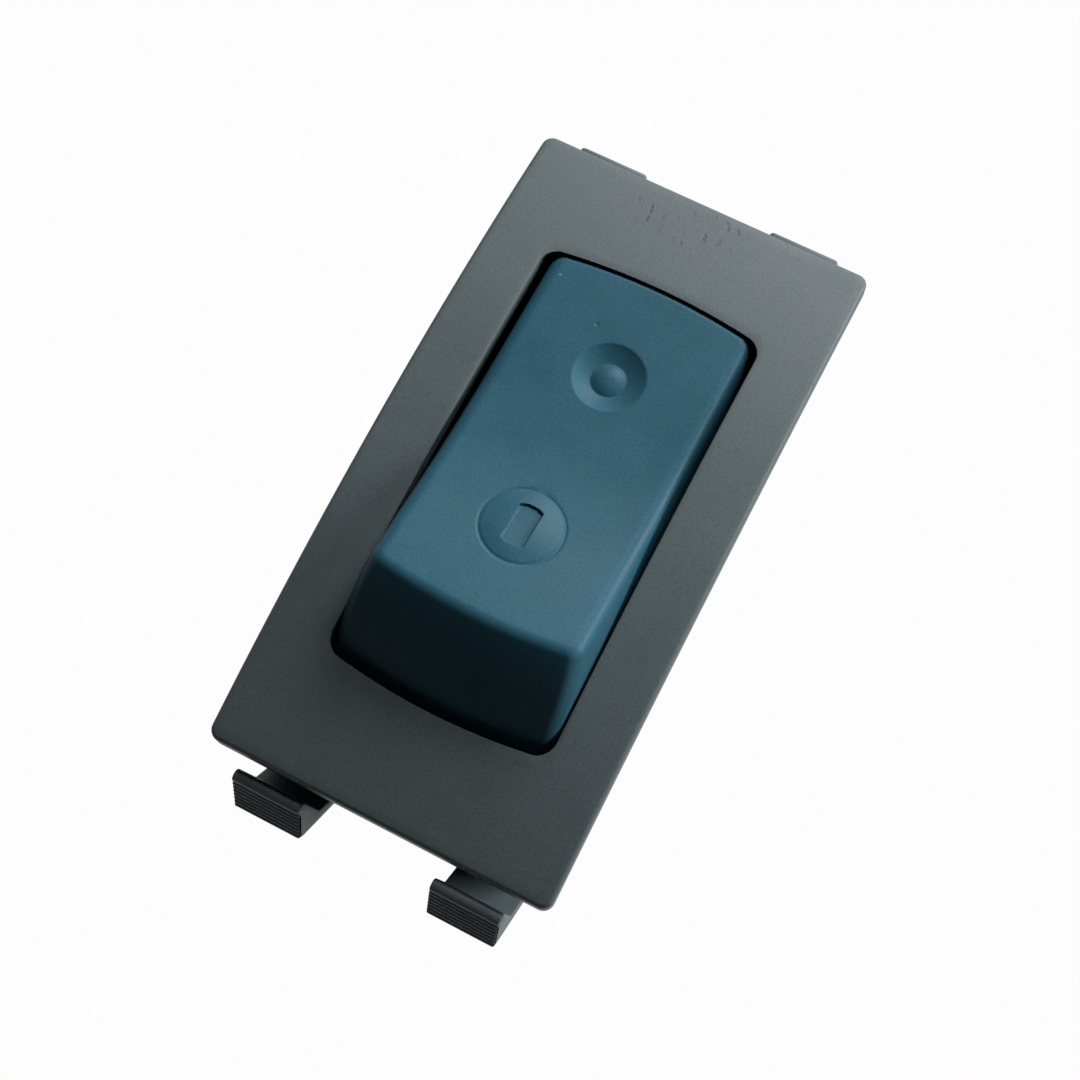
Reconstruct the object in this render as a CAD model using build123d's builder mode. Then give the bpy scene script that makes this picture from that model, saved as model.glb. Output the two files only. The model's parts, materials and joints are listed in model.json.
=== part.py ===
"""Panel rocker switch: clip-in arched bezel, rocker and an inner snap-action micro switch.

Millimetres. +X runs across the bezel, +Y along it towards the O end of the rocker, +Z out of the
wall. The origin is the middle of the seat plane, where the bezel's ends land on their frame.
The rocker is drawn at rest, with its O end pressed in.
"""

import os
from math import atan, cos, degrees, radians, sin, sqrt

from build123d import *

# Bezel plate
plate_width = 25.0
plate_length = 48.4
plate_thickness = 1.7
arch_rise = 2.4
plate_corner_radius = 0.8
plate_edge_round = 0.3

# Rocker, measured from its pivot
pivot_below_crown = 12.8
rocker_swing = 12.2
rocker_face_height = 13.9
rocker_end_radius = 19.85
rocker_end_bow = 0.6
rocker_width = 16.0
rocker_wall = 1.3
rocker_corner_radius = 1.0
rocker_top_round = 1.1
rocker_skirt_height = 5.0
end_gap = 0.35
side_gap = 0.18
opening_corner_radius = 1.1

# Marks on the rocker
mark_offset = 6.4
dimple_diameter = 5.3
dimple_depth = 0.5
bump_diameter = 2.5
bump_height = 0.3
dome_diameter = 5.9
dome_height = 0.3
bar_width = 1.75
bar_length = 3.3
bar_depth = 0.3

# Pivot pin and the cheeks that turn on it
pin_diameter = 2.0
pin_chamfer = 0.2
pin_seat_clearance = 0.02
pin_running_clearance = 0.05
lug_radius = 2.6
cheek_root_length = 14.0
cheek_washer = 0.13

# Bezel skirt
skirt_width = 22.0
skirt_length = 42.8
skirt_wall = 1.2
skirt_depth = 11.9
skirt_corner_radius = 1.0

# Spring hooks of the bezel: a rounded lip, a ribbed front down to the nose, a leg to the skirt.
# The right one is sprung out further than the left one.
hook_width = 5.05
hook_spacing = 14.85
hook_lip_y = -24.95
hook_lip_thickness = 0.9
hook_lip_top = 0.55
hook_nose_y = -27.0
hook_nose_z = -3.9
hook_chin_y = -26.7
hook_chin_z = -4.6
hook_floor_y = -24.6
hook_floor_z = -5.3
hook_leg_root = 1.3
hook_rib_count = 7
hook_rib_depth = 0.18
left_hook_spring = 0.1
right_hook_spring = 0.45

# Fixed tabs of the bezel
tab_width = 5.2
tab_spacing = 14.8
tab_reach = 0.5
tab_root = 1.0
tab_thickness = 1.2
tab_step = 0.5

# Cam rib under the rocker
lobe_offset = 3.0
lobe_radius = 3.2
rib_thickness = 3.0
rib_root_length = 11.0
hub_radius = 2.2
plunger_gap = 0.05

# Detent noses and springs
nose_reach = 4.7
nose_radius = 0.8
detent_gap = 0.15
detent_hump = 0.45
detent_shoulder = 0.55
detent_width = 2.1
detent_thickness = 0.3
detent_half_span = 8.5
detent_flat = 1.9
detent_valley_width = 2.8
detent_drop = 0.75
detent_tab = 1.5
detent_bend_radii = [0.4, 1.5, 1.5, 1.0, 0.5, 1.0, 1.5, 1.5, 0.4]
ledge_width = 1.6
ledge_height = 2.0
ledge_margin = 0.25

# Housing, narrower than the skirt below its collar, and rear cover
body_width = 20.0
housing_wall = 1.5
collar_height = 2.0
spigot_clearance = 0.15
spigot_wall = 1.1
spigot_root = 1.5
stop_gap = 0.15
snap_width = 4.0
snap_height = 1.4
snap_proud = 0.9
snap_spacing = 24.0
snap_clearance = 0.15
snap_rise = 1.2
deck_thickness = 0.8
cover_thickness = 2.0
cover_gap = 0.2
cover_fit = 0.1
cover_lip = 0.7
cover_lip_wall = 0.7
cover_edge_chamfer = 0.4
cover_post_spacing = 13.0
cover_post_radius = 2.2

# Micro switch case
micro_length = 19.8
micro_width = 6.4
micro_height = 10.6
micro_wall = 0.8
micro_floor = 1.2
micro_corner_radius = 0.6
micro_cover_chamfer = 0.2
micro_hole_spacing = 9.5
micro_hole_height = 3.0
micro_boss_radius = 1.9
micro_fit = 0.03
plunger_stand = 0.35
plunger_diameter = 2.4
plunger_clearance = 0.05
plunger_flange = 0.8
plunger_flange_thickness = 0.6
plunger_round = 0.5

# Snap blade, contacts and terminals
contact_travel = 0.6
contact_gap = 0.05
contact_play = 0.03
contact_leg_gap = 0.27
contact_radius = 0.9
contact_height = 0.3
rivet_radius = 0.4
rivet_clearance = 0.05
blade_width = 3.6
blade_thickness = 0.15
blade_depth = 2.7
window_width = 1.8
window_near_y = -1.0
window_margin = 2.0
tongue_width = 1.4
tongue_bow = 0.8
anchor_length = 3.4
strip_width = 3.2
strip_thickness = 0.5
no_leg_spacing = 5.95
leg_slot_gap = 0.2
leg_reach = 2.9
leg_tip_chamfer = 0.3

# Bus bars
bus_thickness = 0.8
bus_flange = 2.8
bar_neck = 2.8
post_detour = 1.3

# Wire clamps and wires
block_width = 5.6
block_length = 7.0
block_height = 6.0
block_edge_chamfer = 0.3
block_pitch = 9.6
block_wall_gap = 1.2
wire_bore = 3.0
wire_inset = 1.0
wire_guide_diameter = 3.8
wire_funnel_diameter = 5.2
wire_funnel_depth = 0.7

# Screws
clamp_screw_diameter = 2.5
clamp_head_diameter = 4.4
clamp_head_height = 1.6
clamp_head_gap = 0.3
slot_width = 0.7
slot_depth = 0.8
micro_screw_diameter = 2.0
micro_screw_head = 3.8
micro_screw_head_height = 1.2
micro_screw_sink = 1.4
micro_screw_end = 8.0
micro_screw_boss = 5.8
micro_head_round = 0.3
cover_screw_diameter = 2.2
cover_screw_head = 4.2
cover_head_height = 1.15
cover_screw_bite = 5.0
screw_clearance = 0.15
thread_clearance = 0.03
tip_gap = 0.4

# Heights and places that follow from the sizes above
crown_z = plate_thickness + arch_rise
arch_radius = ((plate_length / 2) ** 2 + arch_rise**2) / (2 * arch_rise)
pivot_z = crown_z - pivot_below_crown
pin_radius = pin_diameter / 2
skirt_bottom = -skirt_depth
swing = radians(rocker_swing)
rocker_half_width = rocker_width / 2
cheek_middle_x = rocker_half_width - rocker_wall / 2
opening_half_width = rocker_half_width + side_gap
opening_end_radius = rocker_end_radius + end_gap
far = 2 * plate_length

lobe_drop = lobe_offset * sin(swing)
plunger_y = -lobe_offset * cos(swing)
plunger_travel = 2 * lobe_drop
plunger_top = pivot_z + lobe_drop - lobe_radius - plunger_gap

micro_top = plunger_top - plunger_travel - plunger_stand
micro_bottom = micro_top - micro_height
micro_middle_z = (micro_top + micro_bottom) / 2
micro_hole_y = micro_hole_spacing / 2
micro_hole_z = micro_bottom + micro_hole_height
cavity_top = micro_top - micro_wall
cavity_bottom = micro_bottom + micro_floor
case_open_plane = Plane.YZ.offset(micro_wall - micro_width / 2)
end_leg_y = micro_length / 2 - micro_wall - micro_fit - strip_thickness / 2
contact_offset = end_leg_y - strip_thickness / 2 - contact_leg_gap - contact_radius
no_leg_y = contact_offset - no_leg_spacing
window_far_y = contact_offset - window_margin

blade_top = micro_top - blade_depth
blade_bottom = blade_top - blade_thickness
blade_root_y = end_leg_y + strip_thickness / 2
blade_end_y = contact_offset + contact_radius
anchor_tip_y = end_leg_y - anchor_length
nc_strip_bottom = blade_top + contact_play + 2 * contact_height + contact_gap
no_strip_top = blade_bottom - contact_play - 2 * contact_height - contact_travel - contact_gap

deck_top = micro_bottom - micro_fit
deck_bottom = deck_top - deck_thickness
leg_bottom = deck_bottom - leg_reach
bus_bottom = deck_bottom - bus_thickness
block_bottom = bus_bottom - block_height
cover_top = block_bottom - cover_gap
cover_bottom = cover_top - cover_thickness

housing_inner_x = body_width / 2 - housing_wall
housing_inner_y = skirt_length / 2 - housing_wall
flange_root_y = end_leg_y + strip_thickness / 2
no_flange_y = no_leg_y + strip_thickness / 2
bar_half_width = strip_width / 2
block_far_y = housing_inner_y - block_wall_gap
block_y = block_far_y - block_length / 2
block_inner_x = (block_pitch - block_width) / 2
block_outer_x = (block_pitch + block_width) / 2
wire_y = block_y - wire_inset
wire_funnel_taper = degrees(atan((wire_funnel_diameter - wire_guide_diameter) / 2 / wire_funnel_depth))
clamp_screw_z = bus_bottom - block_height / 2
clamp_places = ((0, -1), (-block_pitch / 2, 1), (block_pitch / 2, 1))

spigot_x = skirt_width / 2 - skirt_wall - spigot_clearance
spigot_y = skirt_length / 2 - skirt_wall - spigot_clearance
skirt_tip = sqrt(rocker_end_radius**2 - rocker_skirt_height**2)
stop_z = pivot_z + rocker_skirt_height * cos(swing) - skirt_tip * sin(swing) - stop_gap
snap_z = skirt_bottom + snap_rise

nose_y = nose_reach * sin(swing)
nose_low_z = pivot_z - nose_reach * cos(swing) - nose_radius
detent_valley_z = nose_low_z - detent_gap - detent_thickness / 2
detent_end_z = detent_valley_z - detent_drop
detent_shoulder_y = nose_y + detent_valley_width / 2
detent_flat_y = detent_half_span - detent_flat
ledge_top = detent_end_z - detent_thickness / 2
ledge_y = detent_half_span - detent_thickness / 2 - ledge_margin - ledge_width / 2
ledge_inner_x = cheek_middle_x - detent_width / 2
ledge_outer_x = body_width / 2 - housing_wall / 2

# Directions and planes of the tilted rocker
rocker_along = Vector(0, cos(swing), -sin(swing))
rocker_up = Vector(0, sin(swing), cos(swing))
pivot = Vector(0, 0, pivot_z)
pivot_axis = Axis(pivot, (1, 0, 0))
barrel_plane = Plane(origin=pivot, x_dir=(1, 0, 0), z_dir=(0, -1, 0))
rocker_plan = Plane(origin=pivot, x_dir=(1, 0, 0), z_dir=rocker_up)


def rocker_side(x):
    """Plane of the rocker's side view at x: local x runs along the rocker, local y up it."""
    return Plane(origin=pivot + Vector(x, 0, 0), x_dir=rocker_along, z_dir=(1, 0, 0))


def cap_plane(offset):
    """Upright plane through a mark on the rocker's face: local x across it, local y up it."""
    return Plane(origin=pivot + rocker_along * offset, x_dir=(1, 0, 0), z_dir=-rocker_along)


def cap_radius(diameter, height):
    """Radius of the sphere whose cap has this diameter and height."""
    return (diameter**2 / 4 + height**2) / (2 * height)


def arch_z(y, drop=0.0):
    """Height of the bezel's arch at y, the given depth below its front."""
    return crown_z - arch_radius + sqrt((arch_radius - drop) ** 2 - y**2)


def barrel_outline(half_width, radius, bow):
    """Half section of a barrel about the pivot: flat sides and a bowed rim."""
    Polyline((half_width, radius - bow), (half_width, 0), (-half_width, 0), (-half_width, radius - bow))
    ThreePointArc((-half_width, radius - bow), (0, radius), (half_width, radius - bow))


# Space that the rocker sweeps, which the bezel leaves open
with BuildPart() as sweep_space:
    with BuildSketch(barrel_plane):
        with BuildLine():
            barrel_outline(opening_half_width, opening_end_radius, rocker_end_bow)
        make_face()
    revolve(axis=pivot_axis)
    fillet(sweep_space.edges().filter_by(GeomType.CIRCLE), opening_corner_radius)

# Skirt of the bezel: a tube whose top follows the arch, let halfway into the plate
with BuildPart() as skirt:
    with BuildSketch(Plane.XY.offset(skirt_bottom)):
        RectangleRounded(skirt_width, skirt_length, skirt_corner_radius)
        Rectangle(skirt_width - 2 * skirt_wall, skirt_length - 2 * skirt_wall, mode=Mode.SUBTRACT)
    extrude(amount=crown_z - skirt_bottom)
    with BuildSketch(Plane.YZ):
        reach = plate_length / 2
        level = arch_z(reach, plate_thickness / 2)
        with BuildLine():
            ThreePointArc((-reach, level), (0, arch_z(0, plate_thickness / 2)), (reach, level))
            Polyline((reach, level), (reach, skirt_bottom), (-reach, skirt_bottom), (-reach, level))
        make_face()
    extrude(amount=skirt_width, both=True, mode=Mode.INTERSECT)

# Bezel: arched plate, skirt, pivot lugs, spring hooks and tabs in one moulding
with BuildPart() as bezel_plate:
    with BuildSketch(Plane.YZ):
        reach = plate_length / 2
        with BuildLine():
            ThreePointArc((-reach, arch_z(reach)), (0, crown_z), (reach, arch_z(reach)))
            Line((reach, arch_z(reach)), (reach, 0))
            ThreePointArc((reach, 0), (0, arch_z(0, plate_thickness)), (-reach, 0))
            Line((-reach, 0), (-reach, arch_z(reach)))
        make_face()
    extrude(amount=plate_width / 2, both=True)
    fillet(bezel_plate.edges().filter_by(Axis.Z), plate_corner_radius)
    front_face = bezel_plate.faces().sort_by(SortBy.AREA)[-2:].sort_by(Axis.Z)[-1]
    fillet(front_face.edges(), plate_edge_round)
    add(skirt.part)

    # lugs that carry the pivot pin, flush with the rocker's space
    for side in (-1, 1):
        with BuildSketch(Plane.YZ.offset(side * (skirt_width - skirt_wall) / 2)):
            with Locations((0, pivot_z)):
                Circle(lug_radius)
        extrude(amount=-side * ((skirt_width - skirt_wall) / 2 - opening_half_width))
    add(sweep_space.part, mode=Mode.SUBTRACT)
    with BuildSketch(Plane.YZ.offset(-skirt_width / 2)):
        with Locations((0, pivot_z)):
            Circle(pin_radius + pin_seat_clearance)
    extrude(amount=skirt_width, mode=Mode.SUBTRACT)

    # windows for the housing's snaps
    with BuildSketch(Plane.YZ):
        for y in (-snap_spacing / 2, snap_spacing / 2):
            with Locations((y, snap_z + snap_height / 2)):
                Rectangle(snap_width + 2 * snap_clearance, snap_height + 2 * snap_clearance)
    extrude(amount=skirt_width, both=True, mode=Mode.SUBTRACT)

    # spring hooks: a leg from the skirt's rim turns up into a ribbed finger lip
    lip_middle_y = hook_lip_y - hook_lip_thickness / 2
    lip_front_y = hook_lip_y - hook_lip_thickness
    lip_front_z = hook_lip_top - hook_lip_thickness / 2
    rib_step_y = (hook_nose_y - lip_front_y) / hook_rib_count
    rib_step_z = (hook_nose_z - lip_front_z) / hook_rib_count
    rib_points = []
    for k in range(hook_rib_count):
        valley = (lip_front_y + (k + 0.5) * rib_step_y + hook_rib_depth, lip_front_z + (k + 0.5) * rib_step_z)
        crest = (lip_front_y + (k + 1) * rib_step_y, lip_front_z + (k + 1) * rib_step_z)
        rib_points += [valley, crest]
    for side, spring in ((-1, left_hook_spring), (1, right_hook_spring)):
        root_y = spring - skirt_length / 2
        with BuildSketch(Plane(origin=(side * hook_spacing / 2, -spring, 0), x_dir=(0, 1, 0), z_dir=(1, 0, 0))):
            with BuildLine():
                ThreePointArc((hook_lip_y, lip_front_z), (lip_middle_y, hook_lip_top), (lip_front_y, lip_front_z))
                Polyline(
                    (lip_front_y, lip_front_z),
                    *rib_points,
                    (hook_chin_y, hook_chin_z),
                    (root_y, skirt_bottom),
                    (root_y + skirt_wall, skirt_bottom),
                    (root_y + skirt_wall, skirt_bottom + hook_leg_root),
                    (root_y, skirt_bottom + hook_leg_root),
                    (hook_floor_y, hook_floor_z),
                    (hook_lip_y, lip_front_z),
                )
            make_face()
        extrude(amount=hook_width / 2, both=True)

    # fixed tabs on the far edge, stepped down from the plate's front
    with BuildSketch(Plane.XY.offset(arch_z(plate_length / 2) - tab_step - tab_thickness)):
        for side in (-1, 1):
            with Locations((side * tab_spacing / 2, plate_length / 2 + (tab_reach - tab_root) / 2)):
                Rectangle(tab_width, tab_reach + tab_root)
    extrude(amount=tab_thickness)
bezel_plate.part.label = "bezel_plate"

# Inside of the rocker's shell
with BuildPart() as rocker_core:
    with BuildSketch(barrel_plane):
        with BuildLine():
            barrel_outline(rocker_half_width - rocker_wall, rocker_end_radius - rocker_wall, rocker_end_bow)
        make_face()
    revolve(axis=pivot_axis)
    with BuildSketch(rocker_plan.offset(-far)):
        Rectangle(far, far)
    extrude(amount=far + rocker_face_height - rocker_wall, mode=Mode.INTERSECT)

# Rocker: a hollow shell bowed at its ends, with cheeks, cam rib and detent noses
with BuildPart() as rocker_button:
    with BuildSketch(barrel_plane):
        with BuildLine():
            barrel_outline(rocker_half_width, rocker_end_radius, rocker_end_bow)
        make_face()
    revolve(axis=pivot_axis)
    with BuildSketch(rocker_plan.offset(rocker_skirt_height)):
        Rectangle(far, far)
    extrude(amount=rocker_face_height - rocker_skirt_height, mode=Mode.INTERSECT)
    fillet(rocker_button.edges().filter_by(GeomType.CIRCLE), rocker_corner_radius)
    top_face = rocker_button.faces().sort_by(Axis((0, 0, 0), rocker_up))[-1]
    fillet(top_face.edges(), rocker_top_round)
    add(rocker_core.part, mode=Mode.SUBTRACT)

    # cheeks down to the pivot, each with a detent nose below and a washer on its outside
    for side in (-1, 1):
        with BuildSketch(rocker_side(side * rocker_half_width)):
            Circle(lug_radius)
            with Locations((0, rocker_skirt_height + rocker_wall / 2)):
                Rectangle(cheek_root_length, rocker_wall)
            make_hull()
        extrude(amount=-side * rocker_wall)
        with BuildSketch(rocker_side(side * rocker_half_width)):
            Circle(hub_radius)
            with Locations((0, -nose_reach)):
                Circle(nose_radius)
            make_hull()
        extrude(amount=-side * rocker_wall)
        with BuildSketch(rocker_side(side * rocker_half_width)):
            Circle(hub_radius)
        extrude(amount=side * cheek_washer)

    # cam rib: hub and lobe hang from the top wall
    with BuildSketch(rocker_side(0)):
        Circle(hub_radius)
        with Locations((-lobe_offset, 0)):
            Circle(lobe_radius)
        with Locations((-lobe_offset / 2, rocker_face_height - rocker_wall)):
            Rectangle(rib_root_length, rocker_wall / 2)
        make_hull()
    extrude(amount=rib_thickness / 2, both=True)
    with BuildSketch(rocker_side(0)):
        Circle(pin_radius + pin_running_clearance)
    extrude(amount=skirt_width, both=True, mode=Mode.SUBTRACT)

    # O mark: a round dimple with a low bump in its middle
    hollow_radius = cap_radius(dimple_diameter, dimple_depth)
    bump_radius = cap_radius(bump_diameter, bump_height)
    hollow_centre = rocker_face_height - dimple_depth + hollow_radius
    bump_root = hollow_centre - sqrt(hollow_radius**2 - bump_diameter**2 / 4)
    with Locations(pivot + rocker_along * mark_offset + rocker_up * hollow_centre):
        Sphere(hollow_radius, mode=Mode.SUBTRACT)
    with BuildSketch(cap_plane(mark_offset)):
        with BuildLine():
            bump_rim = (bump_diameter / 2, bump_root)
            bump_low = (bump_diameter / 2, rocker_face_height - rocker_wall)
            bump_centre = bump_root + bump_height - bump_radius
            shoulder = bump_centre + sqrt(bump_radius**2 - bump_diameter**2 / 16)
            Polyline(bump_rim, bump_low, (0, bump_low[1]), (0, bump_root + bump_height))
            ThreePointArc((0, bump_root + bump_height), (bump_diameter / 4, shoulder), bump_rim)
        make_face()
    revolve(axis=Axis(pivot + rocker_along * mark_offset, rocker_up))

    # I mark: a low dome with a bar sunk into it
    dome_radius = cap_radius(dome_diameter, dome_height)
    dome_top = rocker_face_height + dome_height
    with BuildSketch(cap_plane(-mark_offset)):
        with BuildLine():
            dome_rim = (dome_diameter / 2, rocker_face_height)
            dome_low = (dome_diameter / 2, rocker_face_height - rocker_wall / 2)
            shoulder = dome_top - dome_radius + sqrt(dome_radius**2 - dome_diameter**2 / 16)
            Polyline(dome_rim, dome_low, (0, dome_low[1]), (0, dome_top))
            ThreePointArc((0, dome_top), (dome_diameter / 4, shoulder), dome_rim)
        make_face()
    revolve(axis=Axis(pivot - rocker_along * mark_offset, rocker_up))
    with BuildSketch(rocker_plan.offset(dome_top - bar_depth)):
        with Locations((0, -mark_offset)):
            Circle(bar_length / 2)
            Rectangle(bar_width, bar_length, mode=Mode.INTERSECT)
    extrude(amount=dome_height, mode=Mode.SUBTRACT)
rocker_button.part.label = "rocker_button"

# Pivot pin, through the rocker and both skirt walls
with BuildPart() as pivot_pin:
    with BuildSketch(Plane.YZ):
        with Locations((0, pivot_z)):
            Circle(pin_radius)
    extrude(amount=skirt_width / 2, both=True)
    chamfer(pivot_pin.edges().filter_by(GeomType.CIRCLE), pin_chamfer)
pivot_pin.part.label = "pivot_pin"

# Housing: collar and box below the skirt, a spigot inside it, a deck and seats for the works
with BuildPart() as switch_housing:
    with BuildSketch(Plane.XY.offset(cover_top)):
        RectangleRounded(body_width, skirt_length, skirt_corner_radius)
    extrude(amount=skirt_bottom - cover_top)
    with BuildSketch(Plane.XY.offset(skirt_bottom)):
        RectangleRounded(skirt_width, skirt_length, skirt_corner_radius)
    extrude(amount=-collar_height)
    with BuildSketch(Plane.XY.offset(cover_top)):
        Rectangle(2 * housing_inner_x, 2 * housing_inner_y)
    extrude(amount=skirt_bottom - cover_top, mode=Mode.SUBTRACT)

    # spigot inside the skirt, open at the pivot lugs; its end walls are the rocker's stops
    with BuildSketch(Plane.XY.offset(skirt_bottom - spigot_root)):
        Rectangle(skirt_width - housing_wall, skirt_length - housing_wall)
        Rectangle(2 * (spigot_x - spigot_wall), 2 * (spigot_y - spigot_wall), mode=Mode.SUBTRACT)
    extrude(amount=spigot_root)
    with BuildSketch(Plane.XY.offset(skirt_bottom)):
        Rectangle(2 * spigot_x, 2 * spigot_y)
        Rectangle(2 * (spigot_x - spigot_wall), 2 * (spigot_y - spigot_wall), mode=Mode.SUBTRACT)
        Rectangle(skirt_width, 2 * (lug_radius + 2 * spigot_clearance), mode=Mode.SUBTRACT)
    extrude(amount=stop_z - skirt_bottom)

    # snaps on the spigot's long sides: a ramp that ends in a catching face
    for y in (-snap_spacing / 2, snap_spacing / 2):
        with BuildSketch(Plane.XZ.offset(-y)):
            with BuildLine():
                Polyline(
                    (spigot_x - spigot_wall / 2, snap_z),
                    (spigot_x + snap_proud, snap_z),
                    (spigot_x + snap_proud, snap_z + snap_height / 3),
                    (spigot_x, snap_z + snap_height),
                    (spigot_x - spigot_wall / 2, snap_z + snap_height),
                    close=True,
                )
            make_face()
            mirror(about=Plane.YZ)
        extrude(amount=snap_width / 2, both=True)

    # deck under the micro switch, slotted for its legs
    with BuildSketch(Plane.XY.offset(deck_bottom)):
        Rectangle(2 * housing_inner_x + housing_wall, 2 * housing_inner_y + housing_wall)
        with Locations((0, -end_leg_y), (0, no_leg_y), (0, end_leg_y)):
            Rectangle(strip_width + 2 * leg_slot_gap, strip_thickness + 2 * leg_slot_gap, mode=Mode.SUBTRACT)
    extrude(amount=deck_thickness)

    # ledges on the long walls that carry the detent springs
    with BuildSketch(Plane.XY.offset(ledge_top - ledge_height)):
        with GridLocations(ledge_inner_x + ledge_outer_x, 2 * ledge_y, 2, 2):
            Rectangle(ledge_outer_x - ledge_inner_x, ledge_width)
    extrude(amount=ledge_height)

    # bosses that grip the micro switch from both long walls, and the holes of its screws
    with BuildSketch(Plane.YZ.offset(-body_width / 2 + housing_wall / 2)):
        with Locations((-micro_hole_y, micro_hole_z), (micro_hole_y, micro_hole_z)):
            Circle(micro_screw_boss / 2)
    extrude(amount=body_width - housing_wall)
    with BuildSketch(Plane.YZ):
        with Locations((0, (micro_top + micro_bottom) / 2)):
            Rectangle(micro_length + 2 * micro_fit, micro_height + 2 * micro_fit)
    extrude(amount=micro_width / 2 + micro_fit, both=True, mode=Mode.SUBTRACT)
    with BuildSketch(Plane.YZ.offset(-body_width / 2)):
        with Locations((-micro_hole_y, micro_hole_z), (micro_hole_y, micro_hole_z)):
            Circle(micro_screw_diameter / 2 + screw_clearance)
    extrude(amount=body_width / 2, mode=Mode.SUBTRACT)
    with BuildSketch(Plane.YZ.offset(-body_width / 2)):
        with Locations((-micro_hole_y, micro_hole_z), (micro_hole_y, micro_hole_z)):
            Circle(micro_screw_head / 2 + screw_clearance)
    extrude(amount=micro_screw_sink, mode=Mode.SUBTRACT)
    with BuildSketch(Plane.YZ):
        with Locations((-micro_hole_y, micro_hole_z), (micro_hole_y, micro_hole_z)):
            Circle(micro_screw_diameter / 2 + thread_clearance)
    extrude(amount=micro_screw_end + tip_gap, mode=Mode.SUBTRACT)

    # posts for the rear cover's screws
    with BuildSketch(Plane.XY.offset(cover_top)):
        with GridLocations(cover_post_spacing, 0, 2, 1):
            Circle(cover_post_radius)
    extrude(amount=deck_bottom - cover_top)
    with BuildSketch(Plane.XY.offset(cover_top)):
        with GridLocations(cover_post_spacing, 0, 2, 1):
            Circle(cover_screw_diameter / 2 + thread_clearance)
    extrude(amount=cover_screw_bite + tip_gap, mode=Mode.SUBTRACT)

    # wells for the heads of the clamp screws, through the end walls
    for x, side in clamp_places:
        with BuildSketch(Plane.XZ.offset(-side * skirt_length / 2)):
            with Locations((x, clamp_screw_z)):
                Circle(clamp_head_diameter / 2 + screw_clearance)
        extrude(amount=side * housing_wall, mode=Mode.SUBTRACT)
switch_housing.part.label = "switch_housing"

# Rear cover: a lip inside the housing, a guide for each wire and two countersinks
with BuildPart() as rear_cover:
    with BuildSketch(Plane.XY.offset(cover_bottom)):
        RectangleRounded(body_width, skirt_length, skirt_corner_radius)
    extrude(amount=cover_thickness)
    with BuildSketch(Plane.XY.offset(cover_top)):
        Rectangle(2 * (housing_inner_x - cover_fit), 2 * (housing_inner_y - cover_fit))
        Rectangle(
            2 * (housing_inner_x - cover_fit - cover_lip_wall),
            2 * (housing_inner_y - cover_fit - cover_lip_wall),
            mode=Mode.SUBTRACT,
        )
        with GridLocations(cover_post_spacing, 0, 2, 1):
            Circle(cover_post_radius + cover_fit, mode=Mode.SUBTRACT)
    extrude(amount=cover_lip)
    chamfer(rear_cover.faces().sort_by(Axis.Z)[0].edges(), cover_edge_chamfer)
    for x, side in clamp_places:
        with BuildSketch(Plane.XY.offset(cover_bottom)):
            with Locations((x, side * wire_y)):
                Circle(wire_funnel_diameter / 2)
        extrude(amount=wire_funnel_depth, taper=wire_funnel_taper, mode=Mode.SUBTRACT)
        with BuildSketch(Plane.XY.offset(cover_bottom)):
            with Locations((x, side * wire_y)):
                Circle(wire_guide_diameter / 2)
        extrude(amount=cover_thickness, mode=Mode.SUBTRACT)
    with Locations(Plane(origin=(0, 0, cover_bottom), z_dir=(0, 0, -1))):
        with GridLocations(cover_post_spacing, 0, 2, 1):
            CounterSinkHole(
                cover_screw_diameter / 2 + screw_clearance,
                cover_screw_head / 2 + screw_clearance,
                cover_thickness,
            )
rear_cover.part.label = "rear_cover"

# Countersunk screws of the rear cover, slotted and sunk flush
with BuildPart() as cover_screws:
    for side in (-1, 1):
        with BuildSketch(Plane.XZ):
            with BuildLine():
                Polyline(
                    (side * cover_post_spacing / 2, cover_bottom),
                    (side * cover_post_spacing / 2 + cover_screw_head / 2, cover_bottom),
                    (side * cover_post_spacing / 2 + cover_screw_diameter / 2, cover_bottom + cover_head_height),
                    (side * cover_post_spacing / 2 + cover_screw_diameter / 2, cover_top + cover_screw_bite),
                    (side * cover_post_spacing / 2, cover_top + cover_screw_bite),
                    close=True,
                )
            make_face()
        revolve(axis=Axis((side * cover_post_spacing / 2, 0, 0), (0, 0, 1)))
    with BuildSketch(Plane.XY.offset(cover_bottom)):
        with GridLocations(cover_post_spacing, 0, 2, 1):
            Rectangle(cover_screw_head, slot_width)
    extrude(amount=cover_head_height / 2, mode=Mode.SUBTRACT)
cover_screws.part.label = "cover_screws"

# Detent springs: bent strips whose two valleys hold the noses of the rocker's cheeks
detent_springs = []
for side, name in ((-1, "detent_spring_left"), (1, "detent_spring_right")):
    with BuildPart() as detent_spring:
        with BuildSketch(Plane.YZ.offset(side * cheek_middle_x)):
            with BuildLine():
                FilletPolyline(
                    (-detent_half_span, detent_end_z - detent_tab),
                    (-detent_half_span, detent_end_z),
                    (-detent_flat_y, detent_end_z),
                    (-detent_shoulder_y, detent_valley_z + detent_shoulder),
                    (-nose_y, detent_valley_z),
                    (0, detent_valley_z + detent_hump),
                    (nose_y, detent_valley_z),
                    (detent_shoulder_y, detent_valley_z + detent_shoulder),
                    (detent_flat_y, detent_end_z),
                    (detent_half_span, detent_end_z),
                    (detent_half_span, detent_end_z - detent_tab),
                    radius=detent_bend_radii,
                )
            trace(line_width=detent_thickness)
        extrude(amount=detent_width / 2, both=True)
    detent_spring.part.label = name
    detent_springs.append(detent_spring)

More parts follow.
